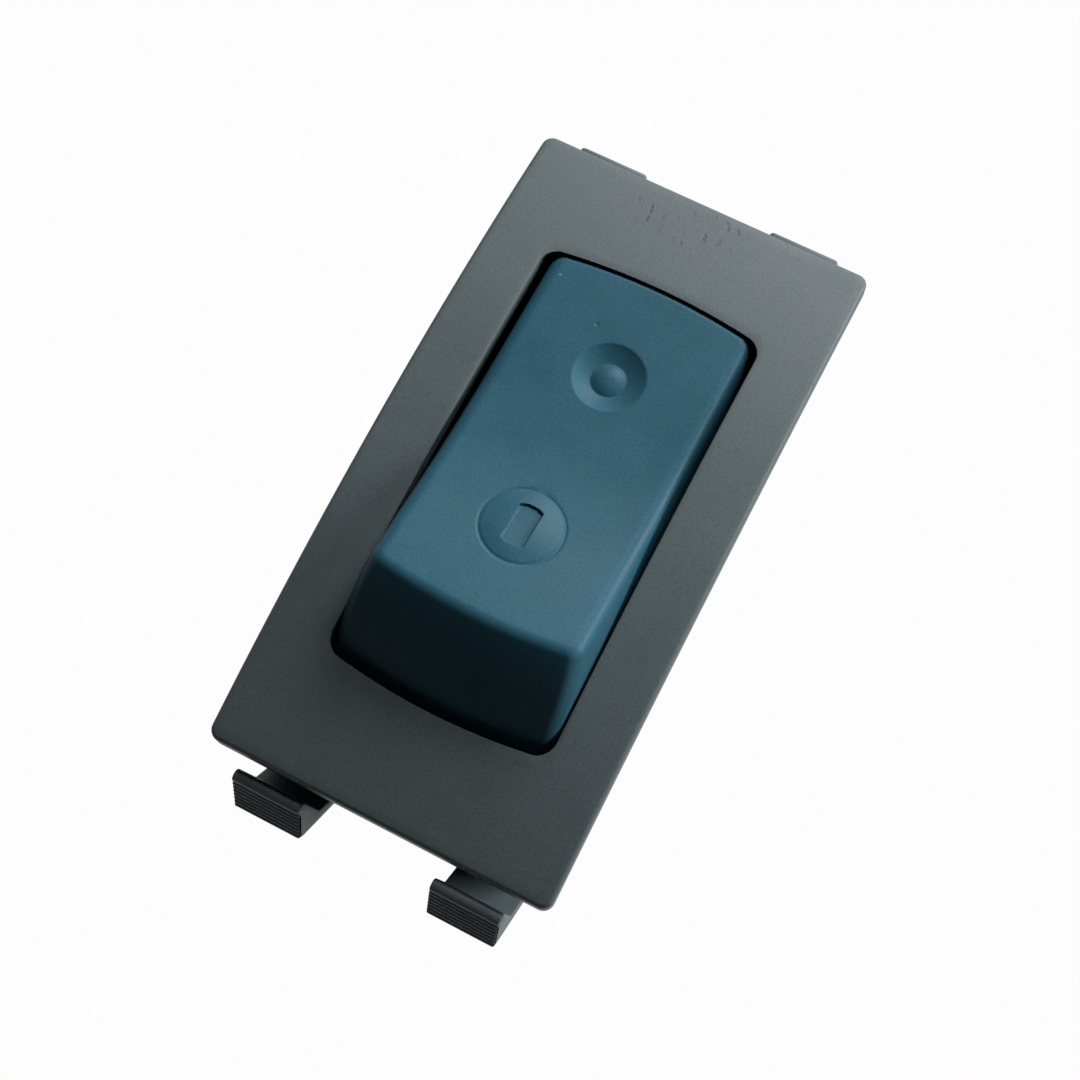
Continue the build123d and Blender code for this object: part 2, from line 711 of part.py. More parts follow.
# Micro switch case: a tub open towards -X, with screw bosses and slots for the legs
with BuildPart() as micro_case:
    with BuildSketch(case_open_plane):
        with Locations((0, micro_middle_z)):
            RectangleRounded(micro_length, micro_height, micro_corner_radius)
    extrude(amount=micro_width - micro_wall)
    with BuildSketch(case_open_plane):
        with Locations((0, (cavity_top + cavity_bottom) / 2)):
            Rectangle(micro_length - 2 * micro_wall, cavity_top - cavity_bottom)
        with Locations((-micro_hole_y, micro_hole_z), (micro_hole_y, micro_hole_z)):
            Circle(micro_boss_radius, mode=Mode.SUBTRACT)
    extrude(amount=micro_width - 2 * micro_wall, mode=Mode.SUBTRACT)
    with BuildSketch(Plane.YZ):
        with Locations((-micro_hole_y, micro_hole_z), (micro_hole_y, micro_hole_z)):
            Circle(micro_screw_diameter / 2 + screw_clearance)
    extrude(amount=micro_width, both=True, mode=Mode.SUBTRACT)
    with BuildSketch(Plane.XY.offset(cavity_top)):
        with Locations((0, plunger_y)):
            Circle(plunger_diameter / 2 + plunger_clearance)
    extrude(amount=micro_wall, mode=Mode.SUBTRACT)
    with BuildSketch(Plane.XY.offset(micro_bottom)):
        with Locations((0, -end_leg_y), (0, no_leg_y), (0, end_leg_y)):
            Rectangle(strip_width + 2 * micro_fit, strip_thickness + 2 * micro_fit)
    extrude(amount=micro_floor, mode=Mode.SUBTRACT)
micro_case.part.label = "micro_case"

# Micro switch cover on the tub's open side
with BuildPart() as micro_cover:
    with BuildSketch(case_open_plane):
        with Locations((0, micro_middle_z)):
            RectangleRounded(micro_length, micro_height, micro_corner_radius)
        with Locations((-micro_hole_y, micro_hole_z), (micro_hole_y, micro_hole_z)):
            Circle(micro_screw_diameter / 2 + screw_clearance, mode=Mode.SUBTRACT)
    extrude(amount=-micro_wall)
    chamfer(micro_cover.faces().sort_by(Axis.X)[0].outer_wire().edges(), micro_cover_chamfer)
micro_cover.part.label = "micro_cover"

# Screws that hold the micro switch between the housing's long walls
with BuildPart() as micro_screws:
    with BuildSketch(Plane.YZ.offset(-body_width / 2 + micro_screw_sink)):
        with Locations((-micro_hole_y, micro_hole_z), (micro_hole_y, micro_hole_z)):
            Circle(micro_screw_head / 2)
    extrude(amount=-micro_screw_head_height)
    fillet(micro_screws.faces().group_by(Axis.X)[0].edges(), micro_head_round)
    with BuildSketch(Plane.YZ.offset(-body_width / 2 + micro_screw_sink)):
        with Locations((-micro_hole_y, micro_hole_z), (micro_hole_y, micro_hole_z)):
            Circle(micro_screw_diameter / 2)
    extrude(amount=body_width / 2 - micro_screw_sink + micro_screw_end)
    with BuildSketch(Plane.YZ.offset(-body_width / 2 + micro_screw_sink - micro_screw_head_height)):
        with Locations((-micro_hole_y, micro_hole_z), (micro_hole_y, micro_hole_z)):
            Rectangle(micro_screw_head, slot_width)
    extrude(amount=micro_screw_head_height / 2, mode=Mode.SUBTRACT)
micro_screws.part.label = "micro_screws"

# Plunger: a domed pin with a flange that keeps it in the case
with BuildPart() as micro_plunger:
    with BuildSketch(Plane.XY.offset(blade_top + contact_gap)):
        with Locations((0, plunger_y)):
            Circle(plunger_diameter / 2)
    extrude(amount=plunger_top - blade_top - contact_gap)
    fillet(micro_plunger.faces().sort_by(Axis.Z)[-1].edges(), plunger_round)
    with BuildSketch(Plane.XY.offset(cavity_top - contact_gap)):
        with Locations((0, plunger_y)):
            Circle(plunger_diameter / 2 + plunger_flange)
    extrude(amount=-plunger_flange_thickness)
micro_plunger.part.label = "micro_plunger"

# Snap blade: a thin strip with a window, where a bowed tongue stores its spring force
with BuildPart() as snap_blade:
    with BuildSketch(Plane.XY.offset(blade_bottom)):
        with Locations((0, (blade_end_y - blade_root_y) / 2)):
            Rectangle(blade_width, blade_end_y + blade_root_y)
        with Locations((0, (window_far_y + window_near_y) / 2)):
            Rectangle(window_width, window_far_y - window_near_y, mode=Mode.SUBTRACT)
        with Locations((0, contact_offset)):
            Circle(rivet_radius + rivet_clearance, mode=Mode.SUBTRACT)
    extrude(amount=blade_thickness)
    with BuildSketch(Plane.YZ):
        with BuildLine():
            ThreePointArc(
                (window_far_y + blade_thickness, blade_bottom + blade_thickness / 2),
                ((window_far_y + window_near_y) / 2, blade_bottom - tongue_bow),
                (window_near_y + 2 * blade_thickness, blade_bottom - tongue_bow / 2),
            )
        trace(line_width=blade_thickness)
    extrude(amount=tongue_width / 2, both=True)
snap_blade.part.label = "snap_blade"

# Moving contact: a rivet through the blade's end
with BuildPart() as moving_contact:
    with BuildSketch(Plane.XY.offset(blade_bottom - contact_play - contact_height)):
        with Locations((0, contact_offset)):
            Circle(rivet_radius)
    extrude(amount=blade_thickness + 2 * contact_play + 2 * contact_height)
    with BuildSketch(Plane.XY.offset(blade_top + contact_play)):
        with Locations((0, contact_offset)):
            Circle(contact_radius)
    extrude(amount=contact_height)
    with BuildSketch(Plane.XY.offset(blade_bottom - contact_play)):
        with Locations((0, contact_offset)):
            Circle(contact_radius)
    extrude(amount=-contact_height)
moving_contact.part.label = "moving_contact"

# Fixed contacts, faced towards the moving one
with BuildPart() as nc_contact:
    with BuildSketch(Plane.XY.offset(nc_strip_bottom)):
        with Locations((0, contact_offset)):
            Circle(contact_radius)
    extrude(amount=-contact_height)
nc_contact.part.label = "nc_contact"

with BuildPart() as no_contact:
    with BuildSketch(Plane.XY.offset(no_strip_top)):
        with Locations((0, contact_offset)):
            Circle(contact_radius)
    extrude(amount=contact_height)
no_contact.part.label = "no_contact"

# Terminals: bent strips whose legs leave through the case's floor and the deck
terminals = []
for name, leg_y, tip_y, strip_top in (
    ("common_terminal", -end_leg_y, -anchor_tip_y, blade_bottom),
    ("nc_terminal", end_leg_y, contact_offset - contact_radius, nc_strip_bottom + strip_thickness),
    ("no_terminal", no_leg_y, contact_offset + contact_radius, no_strip_top),
):
    outward = 1 if leg_y > tip_y else -1
    outer_y = leg_y + outward * strip_thickness / 2
    inner_y = leg_y - outward * strip_thickness / 2
    with BuildPart() as terminal:
        with BuildSketch(Plane.YZ):
            with BuildLine():
                Polyline(
                    (tip_y, strip_top),
                    (outer_y, strip_top),
                    (outer_y, leg_bottom),
                    (inner_y, leg_bottom),
                    (inner_y, strip_top - strip_thickness),
                    (tip_y, strip_top - strip_thickness),
                    close=True,
                )
            make_face()
        extrude(amount=strip_width / 2, both=True)
        chamfer(terminal.edges().group_by(Axis.Z)[0].filter_by(Axis.Y), leg_tip_chamfer)
    terminal.part.label = name
    terminals.append(terminal)

# Bus bars: flat strips under the deck, each with a flange against its terminal's leg
common_plan = [
    (bar_half_width, -flange_root_y),
    (bar_half_width, -block_far_y),
    (-bar_half_width, -block_far_y),
    (-bar_half_width, -flange_root_y),
]
nc_plan = [
    (-bar_half_width, flange_root_y),
    (block_outer_x, flange_root_y),
    (block_outer_x, block_far_y),
    (block_inner_x, block_far_y),
    (block_inner_x, flange_root_y + bar_neck),
    (-bar_half_width, flange_root_y + bar_neck),
]
no_plan = [
    (bar_half_width, no_flange_y),
    (bar_half_width, no_flange_y + post_detour + bar_neck),
    (-block_inner_x, no_flange_y + post_detour + bar_neck),
    (-block_inner_x, block_far_y),
    (-block_outer_x, block_far_y),
    (-block_outer_x, no_flange_y + post_detour),
    (-bar_half_width, no_flange_y + post_detour),
    (-bar_half_width, no_flange_y),
]
bus_bars = []
for name, plan, flange_y in (
    ("common_bus", common_plan, -flange_root_y),
    ("nc_bus", nc_plan, flange_root_y),
    ("no_bus", no_plan, no_flange_y),
):
    outward = -1 if flange_y < 0 else 1
    with BuildPart() as bus_bar:
        with BuildSketch(Plane.XY.offset(bus_bottom)):
            with BuildLine():
                Polyline(*plan, close=True)
            make_face()
        extrude(amount=bus_thickness)
        with BuildSketch(Plane.XY.offset(deck_bottom)):
            with Locations((0, flange_y + outward * bus_thickness / 2)):
                Rectangle(2 * bar_half_width, bus_thickness)
        extrude(amount=-bus_flange)
    bus_bar.part.label = name
    bus_bars.append(bus_bar)

# Wire clamps: brass blocks with a bore for the wire and a screw from the end
clamp_blocks = []
for (x, side), name in zip(clamp_places, ("clamp_block_common", "clamp_block_no", "clamp_block_nc")):
    with BuildPart() as clamp_block:
        with BuildSketch(Plane.XY.offset(block_bottom)):
            with Locations((x, side * block_y)):
                Rectangle(block_width, block_length)
        extrude(amount=block_height)
        chamfer(clamp_block.edges().filter_by(Axis.Z), block_edge_chamfer)
        with BuildSketch(Plane.XY.offset(block_bottom)):
            with Locations((x, side * wire_y)):
                Circle(wire_bore / 2)
        extrude(amount=block_height, mode=Mode.SUBTRACT)
        with BuildSketch(Plane.XZ.offset(-side * block_far_y)):
            with Locations((x, clamp_screw_z)):
                Circle(clamp_screw_diameter / 2 + thread_clearance)
        extrude(amount=side * (block_far_y - wire_y), mode=Mode.SUBTRACT)
    clamp_block.part.label = name
    clamp_blocks.append(clamp_block)

# Clamp screws: slotted cheese heads in the wells of the end walls
with BuildPart() as clamp_screws:
    for x, side in clamp_places:
        with BuildSketch(Plane.XZ.offset(-side * (block_far_y + clamp_head_gap))):
            with Locations((x, clamp_screw_z)):
                Circle(clamp_head_diameter / 2)
        extrude(amount=-side * clamp_head_height)
        with BuildSketch(Plane.XZ.offset(-side * (block_far_y + clamp_head_gap))):
            with Locations((x, clamp_screw_z)):
                Circle(clamp_screw_diameter / 2)
        extrude(amount=side * (block_far_y + clamp_head_gap - wire_y - wire_bore / 2 - tip_gap / 2))
        with BuildSketch(Plane.XZ.offset(-side * (block_far_y + clamp_head_gap + clamp_head_height))):
            with Locations((x, clamp_screw_z)):
                Rectangle(clamp_head_diameter, slot_width)
        extrude(amount=side * slot_depth, mode=Mode.SUBTRACT)
clamp_screws.part.label = "clamp_screws"

pieces = [bezel_plate, rocker_button, pivot_pin, switch_housing, rear_cover, cover_screws]
pieces += [*detent_springs, micro_case, micro_cover, micro_screws, micro_plunger, snap_blade]
pieces += [moving_contact, nc_contact, no_contact, *terminals, *bus_bars, *clamp_blocks, clamp_screws]

os.makedirs("parts", exist_ok=True)
for piece in pieces:
    export_step(piece.part, f"parts/{piece.part.label}.step")
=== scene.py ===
import json
from math import acos, atan2, cos, hypot, pi, radians, sin, sqrt, tan

import bmesh
import bpy
from mathutils import Matrix, Vector


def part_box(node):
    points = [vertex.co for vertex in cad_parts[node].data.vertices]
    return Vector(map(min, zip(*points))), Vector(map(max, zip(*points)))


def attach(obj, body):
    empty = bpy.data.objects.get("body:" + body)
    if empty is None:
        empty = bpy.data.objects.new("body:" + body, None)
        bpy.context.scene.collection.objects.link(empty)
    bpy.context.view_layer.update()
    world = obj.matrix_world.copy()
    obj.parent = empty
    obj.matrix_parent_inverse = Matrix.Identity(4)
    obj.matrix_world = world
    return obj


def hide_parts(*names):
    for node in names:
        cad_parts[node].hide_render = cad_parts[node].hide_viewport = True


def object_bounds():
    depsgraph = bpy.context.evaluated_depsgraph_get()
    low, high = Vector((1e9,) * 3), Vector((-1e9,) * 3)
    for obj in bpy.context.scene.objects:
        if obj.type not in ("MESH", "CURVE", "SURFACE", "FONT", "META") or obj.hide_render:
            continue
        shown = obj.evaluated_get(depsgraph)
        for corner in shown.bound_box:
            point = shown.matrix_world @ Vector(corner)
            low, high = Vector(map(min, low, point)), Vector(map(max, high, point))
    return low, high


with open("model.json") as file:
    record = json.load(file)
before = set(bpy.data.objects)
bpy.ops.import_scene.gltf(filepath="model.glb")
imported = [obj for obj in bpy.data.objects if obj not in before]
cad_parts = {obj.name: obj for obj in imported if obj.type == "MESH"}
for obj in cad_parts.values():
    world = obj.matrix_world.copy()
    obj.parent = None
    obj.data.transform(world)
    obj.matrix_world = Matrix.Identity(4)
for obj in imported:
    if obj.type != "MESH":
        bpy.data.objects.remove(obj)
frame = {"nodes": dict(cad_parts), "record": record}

# Rocker switch dressed around its CAD frame: bezel, rocker and screws are modelled here,
# the other CAD nodes keep their shape and get a finish. Sizes are in millimetres.

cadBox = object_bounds()
nodes = frame["nodes"]
mm = 0.001
print("frame loaded:", len(nodes), "nodes")

scene = bpy.context.scene
scene.view_settings.view_transform = "Standard"


# Finishes

def nodeIn(tree, kind, **settings):
    node = tree.nodes.new("ShaderNode" + kind)
    for key, value in settings.items():
        setattr(node, key, value)
    return node


def newFinish(name, color, roughness, metallic=0.0, specular=0.5):
    material = bpy.data.materials.new(name)
    material.use_nodes = True
    tree = material.node_tree
    shader = tree.nodes["Principled BSDF"]
    shader.inputs["Base Color"].default_value = (*color, 1)
    shader.inputs["Roughness"].default_value = roughness
    shader.inputs["Metallic"].default_value = metallic
    shader.inputs["Specular IOR Level"].default_value = specular
    return material, tree, shader


def srgb(red, green, blue):
    # a screen colour, 0 to 255, as linear light
    shares = [c / 255 for c in (red, green, blue)]
    return [s / 12.92 if s <= 0.04 else ((s + 0.055) / 1.055) ** 2.4 for s in shares]


def noiseOf(tree, place, size, detail=4.0, roughness=0.55, stretch=(1, 1, 1)):
    # size is the width of one blotch in millimetres
    mapping = nodeIn(tree, "Mapping")
    mapping.inputs["Scale"].default_value = [s / (size * mm) for s in stretch]
    noise = nodeIn(tree, "TexNoise")
    noise.inputs["Scale"].default_value = 1.0
    noise.inputs["Detail"].default_value = detail
    noise.inputs["Roughness"].default_value = roughness
    tree.links.new(place, mapping.inputs["Vector"])
    tree.links.new(mapping.outputs["Vector"], noise.inputs["Vector"])
    return noise.outputs["Fac"]


def rampOf(tree, value, low, high, fromPos=0.3, toPos=0.7):
    # low and high are grey levels or colours, reached where the value is fromPos and toPos
    ramp = nodeIn(tree, "ValToRGB")
    ends = ramp.color_ramp.elements
    ends[0].position = fromPos
    ends[1].position = toPos
    ends[0].color = (*low, 1) if hasattr(low, "__len__") else (low, low, low, 1)
    ends[1].color = (*high, 1) if hasattr(high, "__len__") else (high, high, high, 1)
    tree.links.new(value, ramp.inputs["Fac"])
    return ramp.outputs["Color"]


def bumpOf(tree, height, depth, before=None):
    # depth is the height of the relief in millimetres
    bump = nodeIn(tree, "Bump")
    bump.inputs["Strength"].default_value = 1.0
    bump.inputs["Distance"].default_value = depth * mm
    tree.links.new(height, bump.inputs["Height"])
    if before:
        tree.links.new(before, bump.inputs["Normal"])
    return bump.outputs["Normal"]


def mixOf(tree, blend, factor, first, second):
    mix = nodeIn(tree, "Mix", data_type="RGBA", blend_type=blend)
    sockets = {"Factor": factor, "A": first, "B": second}
    for name, value in sockets.items():
        socket = [s for s in mix.inputs if s.name == name and s.enabled][0]
        if isinstance(value, bpy.types.NodeSocket):
            tree.links.new(value, socket)
        elif hasattr(value, "__len__"):
            socket.default_value = (*value, 1)
        else:
            socket.default_value = value
    return [s for s in mix.outputs if s.enabled][0]


def mathOf(tree, operation, first, second):
    node = nodeIn(tree, "Math", operation=operation)
    for socket, value in zip(node.inputs, (first, second)):
        if isinstance(value, bpy.types.NodeSocket):
            tree.links.new(value, socket)
        else:
            socket.default_value = value
    return node.outputs[0]


def spotOf(tree, place, centre, radii, turn=0):
    # 1 in the middle of an ellipsoid, 0 at its skin; turn is its turn about Z in degrees
    mapping = nodeIn(tree, "Mapping", vector_type="TEXTURE")
    mapping.inputs["Location"].default_value = [c * mm for c in centre]
    mapping.inputs["Rotation"].default_value = (0, 0, radians(turn))
    mapping.inputs["Scale"].default_value = [r * mm for r in radii]
    ball = nodeIn(tree, "TexGradient", gradient_type="SPHERICAL")
    tree.links.new(place, mapping.inputs["Vector"])
    tree.links.new(mapping.outputs["Vector"], ball.inputs["Vector"])
    return ball.outputs["Fac"]


def mouldedPlastic(name, color, shade, look):
    # satin moulded plastic: cloudy colour, fine grain with darker pores, a slow sink of the wall
    material, tree, shader = newFinish(name, color, look["roughness"], specular=look["specular"])
    place = nodeIn(tree, "TexCoord").outputs["Object"]
    clouds = noiseOf(tree, place, look["cloudSize"], detail=3.0)
    grain = noiseOf(tree, place, look["grainSize"], detail=2.0, roughness=0.6)
    sink = noiseOf(tree, place, look["sinkSize"], detail=1.0)
    toned = rampOf(tree, clouds, shade, color)
    pores = rampOf(tree, grain, 0.6, 1.0, 0.35, 0.6)
    speckled = mixOf(tree, "MULTIPLY", look["speckle"], toned, pores)
    tree.links.new(speckled, shader.inputs["Base Color"])
    smooth = look["roughness"] - look["roughRange"]
    matt = look["roughness"] + look["roughRange"]
    tree.links.new(rampOf(tree, clouds, smooth, matt), shader.inputs["Roughness"])
    relief = bumpOf(tree, sink, look["sinkDepth"])
    relief = bumpOf(tree, grain, look["grainDepth"], relief)
    tree.links.new(relief, shader.inputs["Normal"])
    return material, tree, shader, place, speckled


# in each look, sizes and depths are in millimetres
greyLook = dict(
    color=srgb(81, 91, 94), shade=srgb(77, 87, 90), roughness=0.5, roughRange=0.05, specular=0.22,
    cloudSize=5.0, grainSize=0.13, grainDepth=0.008, speckle=0.5, sinkSize=9.0, sinkDepth=0.02,
    scratchColor=srgb(40, 43, 42), scratchDepth=0.012, scratchGap=0.2,  # gap: width of a break in a scratch
    scratchLevel=2.0, scratchReach=2.5,  # z of their middle and how far they reach above and below it
    rubColor=srgb(66, 74, 76), rubMiddle=(-0.2, 21.6, 2.2), rubRadii=(5.6, 3.2, 3.0), streakSize=0.5,
)
# x, y, length, width, turn and strength of each scratch near the plate's far edge
plateScratches = [
    (-3.23, 22.01, 1.15, 0.17, 14, 0.9),
    (-3.12, 21.14, 0.85, 0.14, -13, 0.7),
    (1.05, 21.55, 1.3, 0.17, 12, 0.9),
    (1.93, 23.5, 0.5, 0.14, 82, 0.8),
    (2.2, 23.08, 0.9, 0.15, 10, 0.8),
    (2.92, 23.19, 1.0, 0.15, 21, 0.8),
    (-0.19, 20.45, 0.7, 0.14, 26, 0.7),
    (-4.32, 22.31, 0.9, 0.13, 21, 0.45),
    (-2.2, 21.73, 0.8, 0.13, 14, 0.45),
    (-1.27, 22.2, 0.7, 0.13, 26, 0.45),
    (1.0, 23.59, 0.6, 0.13, 25, 0.45),
    (2.09, 21.85, 0.8, 0.13, 8, 0.5),
    (-0.87, 20.59, 0.24, 0.2, 0, 0.7),
    (3.01, 21.61, 0.22, 0.18, 0, 0.6),
    (1.98, 21.5, 0.2, 0.16, 0, 0.6),
]


def scratchMask(tree, place, look):
    # 1 in the deepest scratch, 0 on the sound plastic; a fine noise breaks the scratches up
    ragged = rampOf(tree, noiseOf(tree, place, look["scratchGap"], detail=2.0), 0.3, 1.0, 0.38, 0.56)
    worn = None
    for x, y, length, width, turn, strength in plateScratches:
        middle = (x, y, look["scratchLevel"])
        spot = spotOf(tree, place, middle, (width, length / 2, look["scratchReach"]), turn)
        line = mathOf(tree, "MULTIPLY", rampOf(tree, spot, 0.0, 1.0, 0.1, 0.6), strength)
        worn = mathOf(tree, "MAXIMUM", worn, line) if worn else line
    return mathOf(tree, "MULTIPLY", worn, ragged)


def greyPlastic():
    look = greyLook
    material, tree, shader, place, color = mouldedPlastic("greyPlastic", look["color"], look["shade"], look)
    worn = scratchMask(tree, place, look)
    # faint darker streaks, in the patch where the scratches lie
    rub = spotOf(tree, place, look["rubMiddle"], look["rubRadii"])
    lines = noiseOf(tree, place, look["streakSize"], detail=4.0, stretch=(1.6, 0.4, 1))
    streaks = rampOf(tree, lines, 0.0, 1.0, 0.52, 0.66)
    faint = mathOf(tree, "MULTIPLY", streaks, rampOf(tree, rub, 0.0, 0.5, 0.0, 0.4))
    rubbed = mixOf(tree, "MIX", faint, color, look["rubColor"])
    scratched = mixOf(tree, "MIX", worn, rubbed, look["scratchColor"])
    tree.links.new(scratched, shader.inputs["Base Color"])
    grain = shader.inputs["Normal"].links[0].from_socket
    relief = bumpOf(tree, mathOf(tree, "SUBTRACT", 1.0, worn), look["scratchDepth"], grain)
    tree.links.new(relief, shader.inputs["Normal"])
    return material


blueLook = dict(
    color=srgb(46, 87, 104), shade=srgb(42, 82, 98), roughness=0.38, roughRange=0.05, specular=0.07,
    cloudSize=4.0, grainSize=0.13, grainDepth=0.007, speckle=0.5, sinkSize=7.0, sinkDepth=0.015,
    dustColor=srgb(130, 160, 172), dustSize=3.2, dustStrength=0.5,  # size: the usual way between two specks
)


def bluePlastic():
    look = blueLook
    material, tree, shader, place, color = mouldedPlastic("bluePlastic", look["color"], look["shade"], look)
    # a few specks of pale dust
    dust = nodeIn(tree, "TexVoronoi")
    dust.inputs["Scale"].default_value = 1 / (look["dustSize"] * mm)
    tree.links.new(place, dust.inputs["Vector"])
    speck = rampOf(tree, dust.outputs["Distance"], 1.0, 0.0, 0.02, 0.035)
    shown = mathOf(tree, "MULTIPLY", speck, look["dustStrength"])
    tree.links.new(mixOf(tree, "MIX", shown, color, look["dustColor"]), shader.inputs["Base Color"])
    return material


nylonLook = dict(
    roughness=0.55, roughRange=0.08, specular=0.4, cloudSize=6.0, grainSize=0.16, grainDepth=0.01,
    speckle=0.35, sinkSize=8.0, sinkDepth=0.03, fibreSize=0.9, fibrePaler=0.06, fibreStrength=0.35,
    edgeRound=0.12,
)


def filledNylon(name, color, shade):
    # glass-filled nylon: short pale fibres show in the dark skin
    look = nylonLook
    material, tree, shader, place, speckled = mouldedPlastic(name, color, shade, look)
    fibres = noiseOf(tree, place, look["fibreSize"], detail=2.0, stretch=(6, 0.5, 0.5))
    streak = rampOf(tree, fibres, 0.0, 1.0, 0.62, 0.8)
    shown = mathOf(tree, "MULTIPLY", streak, look["fibreStrength"])
    paler = [c + look["fibrePaler"] for c in color]
    tree.links.new(mixOf(tree, "MIX", shown, speckled, paler), shader.inputs["Base Color"])
    roundEdges(tree, shader, look["edgeRound"])
    return material


def roundEdges(tree, shader, radius):
    # breaks the light on the sharp edges of a CAD node, by feeding the first bump of the chain
    edge = nodeIn(tree, "Bevel", samples=4)
    edge.inputs["Radius"].default_value = radius * mm
    socket = shader.inputs["Normal"]
    while socket.links:
        socket = socket.links[0].from_node.inputs["Normal"]
    tree.links.new(edge.outputs["Normal"], socket)


def metalFinish(name, color, tarnish, look):
    # rolled or turned metal: fine drawn lines and a patchy tarnish
    material, tree, shader = newFinish(name, color, look["roughness"], metallic=1.0)
    place = nodeIn(tree, "TexCoord").outputs["Object"]
    patches = noiseOf(tree, place, look["patchSize"], detail=5.0)
    lines = noiseOf(tree, place, look["lineSize"], detail=3.0, stretch=look["lineStretch"])
    tree.links.new(rampOf(tree, patches, tarnish, color, 0.25, 0.6), shader.inputs["Base Color"])
    rough = rampOf(tree, lines, look["roughness"] - look["smoother"], look["roughness"] + look["rougher"])
    tree.links.new(rough, shader.inputs["Roughness"])
    tree.links.new(bumpOf(tree, lines, look["lineDepth"]), shader.inputs["Normal"])
    roundEdges(tree, shader, look["edgeRound"])
    return material


metalLook = dict(smoother=0.07, rougher=0.1, lineDepth=0.002, edgeRound=0.06)
rolled = dict(metalLook, roughness=0.3, patchSize=1.6, lineSize=0.12, lineStretch=(1, 0.06, 1))
turned = dict(metalLook, roughness=0.26, patchSize=1.2, lineSize=0.08, lineStretch=(1, 0.3, 0.3))
finishes = {
    "grey_plastic": greyPlastic(),
    "blue_plastic": bluePlastic(),
    "housing_plastic": filledNylon("housingNylon", srgb(44, 46, 48), srgb(37, 39, 41)),
    "cover_plastic": filledNylon("coverNylon", srgb(58, 60, 62), srgb(50, 52, 54)),
    "case_plastic": filledNylon("casePhenolic", srgb(38, 37, 36), srgb(32, 31, 30)),
    "plunger_plastic": filledNylon("plungerNylon", srgb(150, 52, 40), srgb(136, 44, 34)),
    "steel": metalFinish("drawnSteel", srgb(176, 176, 178), srgb(150, 150, 152), turned),
    "plated_steel": metalFinish("zincPlate", srgb(196, 197, 196), srgb(160, 162, 160), turned),
    "spring_steel": metalFinish("springSteel", srgb(150, 150, 152), srgb(124, 124, 127), rolled),
    "spring_copper": metalFinish("springCopper", srgb(196, 138, 96), srgb(158, 104, 70), rolled),
    "contact_silver": metalFinish("contactSilver", srgb(214, 212, 206), srgb(176, 172, 164), turned),
    "brass": metalFinish("plainBrass", srgb(190, 158, 98), srgb(150, 120, 72), rolled),
}
slotOf = {part["node"]: part["material_slot"] for part in frame["record"]["subparts"]}
for name, node in nodes.items():
    node.data.materials.clear()
    node.data.materials.append(finishes[slotOf[name]])
print("finishes made:", len(finishes))


# Helpers that make meshes

def rawShape(name, points, faces):
    # points in millimetres
    mesh = bpy.data.meshes.new(name)
    mesh.from_pydata([Vector(p) * mm for p in points], [], faces)
    shaped = bmesh.new()
    shaped.from_mesh(mesh)
    bmesh.ops.recalc_face_normals(shaped, faces=shaped.faces)
    shaped.to_mesh(mesh)
    shaped.free()
    shape = bpy.data.objects.new(name, mesh)
    scene.collection.objects.link(shape)
    return shape


def carve(shape, tools, operation):
    # cuts tools away from a shape or joins them to it, then drops them
    for tool in tools:
        step = shape.modifiers.new("carve", "BOOLEAN")
        step.object = tool
        step.operation = operation
        step.solver = "EXACT"
    carved = bpy.data.meshes.new_from_object(shape.evaluated_get(bpy.context.evaluated_depsgraph_get()))
    shape.modifiers.clear()
    shape.data = carved
    for tool in tools:
        bpy.data.objects.remove(tool)


def dressPiece(shape, slotName, body, sharpAngle=35):
    shape.data.shade_smooth()
    shape.data.set_sharp_from_angle(angle=radians(sharpAngle))
    shape.data.materials.clear()
    shape.data.materials.append(finishes[slotName])
    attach(shape, body)
    return shape


def ringFaces(ringCount, pointCount, closed, start=0):
    # quads between neighbouring rings of points, start is the index of their first point
    faces = []
    last = ringCount if closed else ringCount - 1
    for r in range(last):
        a = start + r * pointCount
        b = start + ((r + 1) % ringCount) * pointCount
        for k in range(pointCount):
            m = (k + 1) % pointCount
            faces.append((a + k, a + m, b + m, b + k))
    return faces


def roundedLoop(halfX, halfY, radius, countX, countY, countCorner):
    # corner arcs joined by divided runs, anticlockwise from the +X side
    corners = ((1, 1, 0), (-1, 1, 90), (-1, -1, 180), (1, -1, 270))
    arcs = []
    for signX, signY, start in corners:
        x = signX * (halfX - radius)
        y = signY * (halfY - radius)
        turn = [radians(start + 90 * k / countCorner) for k in range(countCorner + 1)]
        arcs.append([(x + radius * cos(a), y + radius * sin(a)) for a in turn])
    loop = []
    for k, arc in enumerate(arcs):
        loop += arc
        x, y = arc[-1]
        nextX, nextY = arcs[(k + 1) % 4][0]
        count = countX if k % 2 == 0 else countY
        loop += [(x + (nextX - x) * i / count, y + (nextY - y) * i / count) for i in range(1, count)]
    return loop


def insetLoop(loop, amount):
    # moves a closed outline inwards, corner by corner
    sharpest = 0.4  # keeps the point of a sharp corner from shooting inwards
    ahead = loop[1:] + loop[:1]
    area = sum(a[0] * b[1] - b[0] * a[1] for a, b in zip(loop, ahead))
    inward = 1 if area > 0 else -1
    moved = []
    for before, here, after in zip(loop[-1:] + loop[:-1], loop, ahead):
        first = (Vector(here) - Vector(before)).normalized()
        second = (Vector(after) - Vector(here)).normalized()
        normal = Vector((-first.y - second.y, first.x + second.x)).normalized() * inward
        spread = max(abs(normal.dot(Vector((-first.y, first.x)))), sharpest)
        moved.append(tuple(Vector(here) + normal * amount / spread))
    return moved


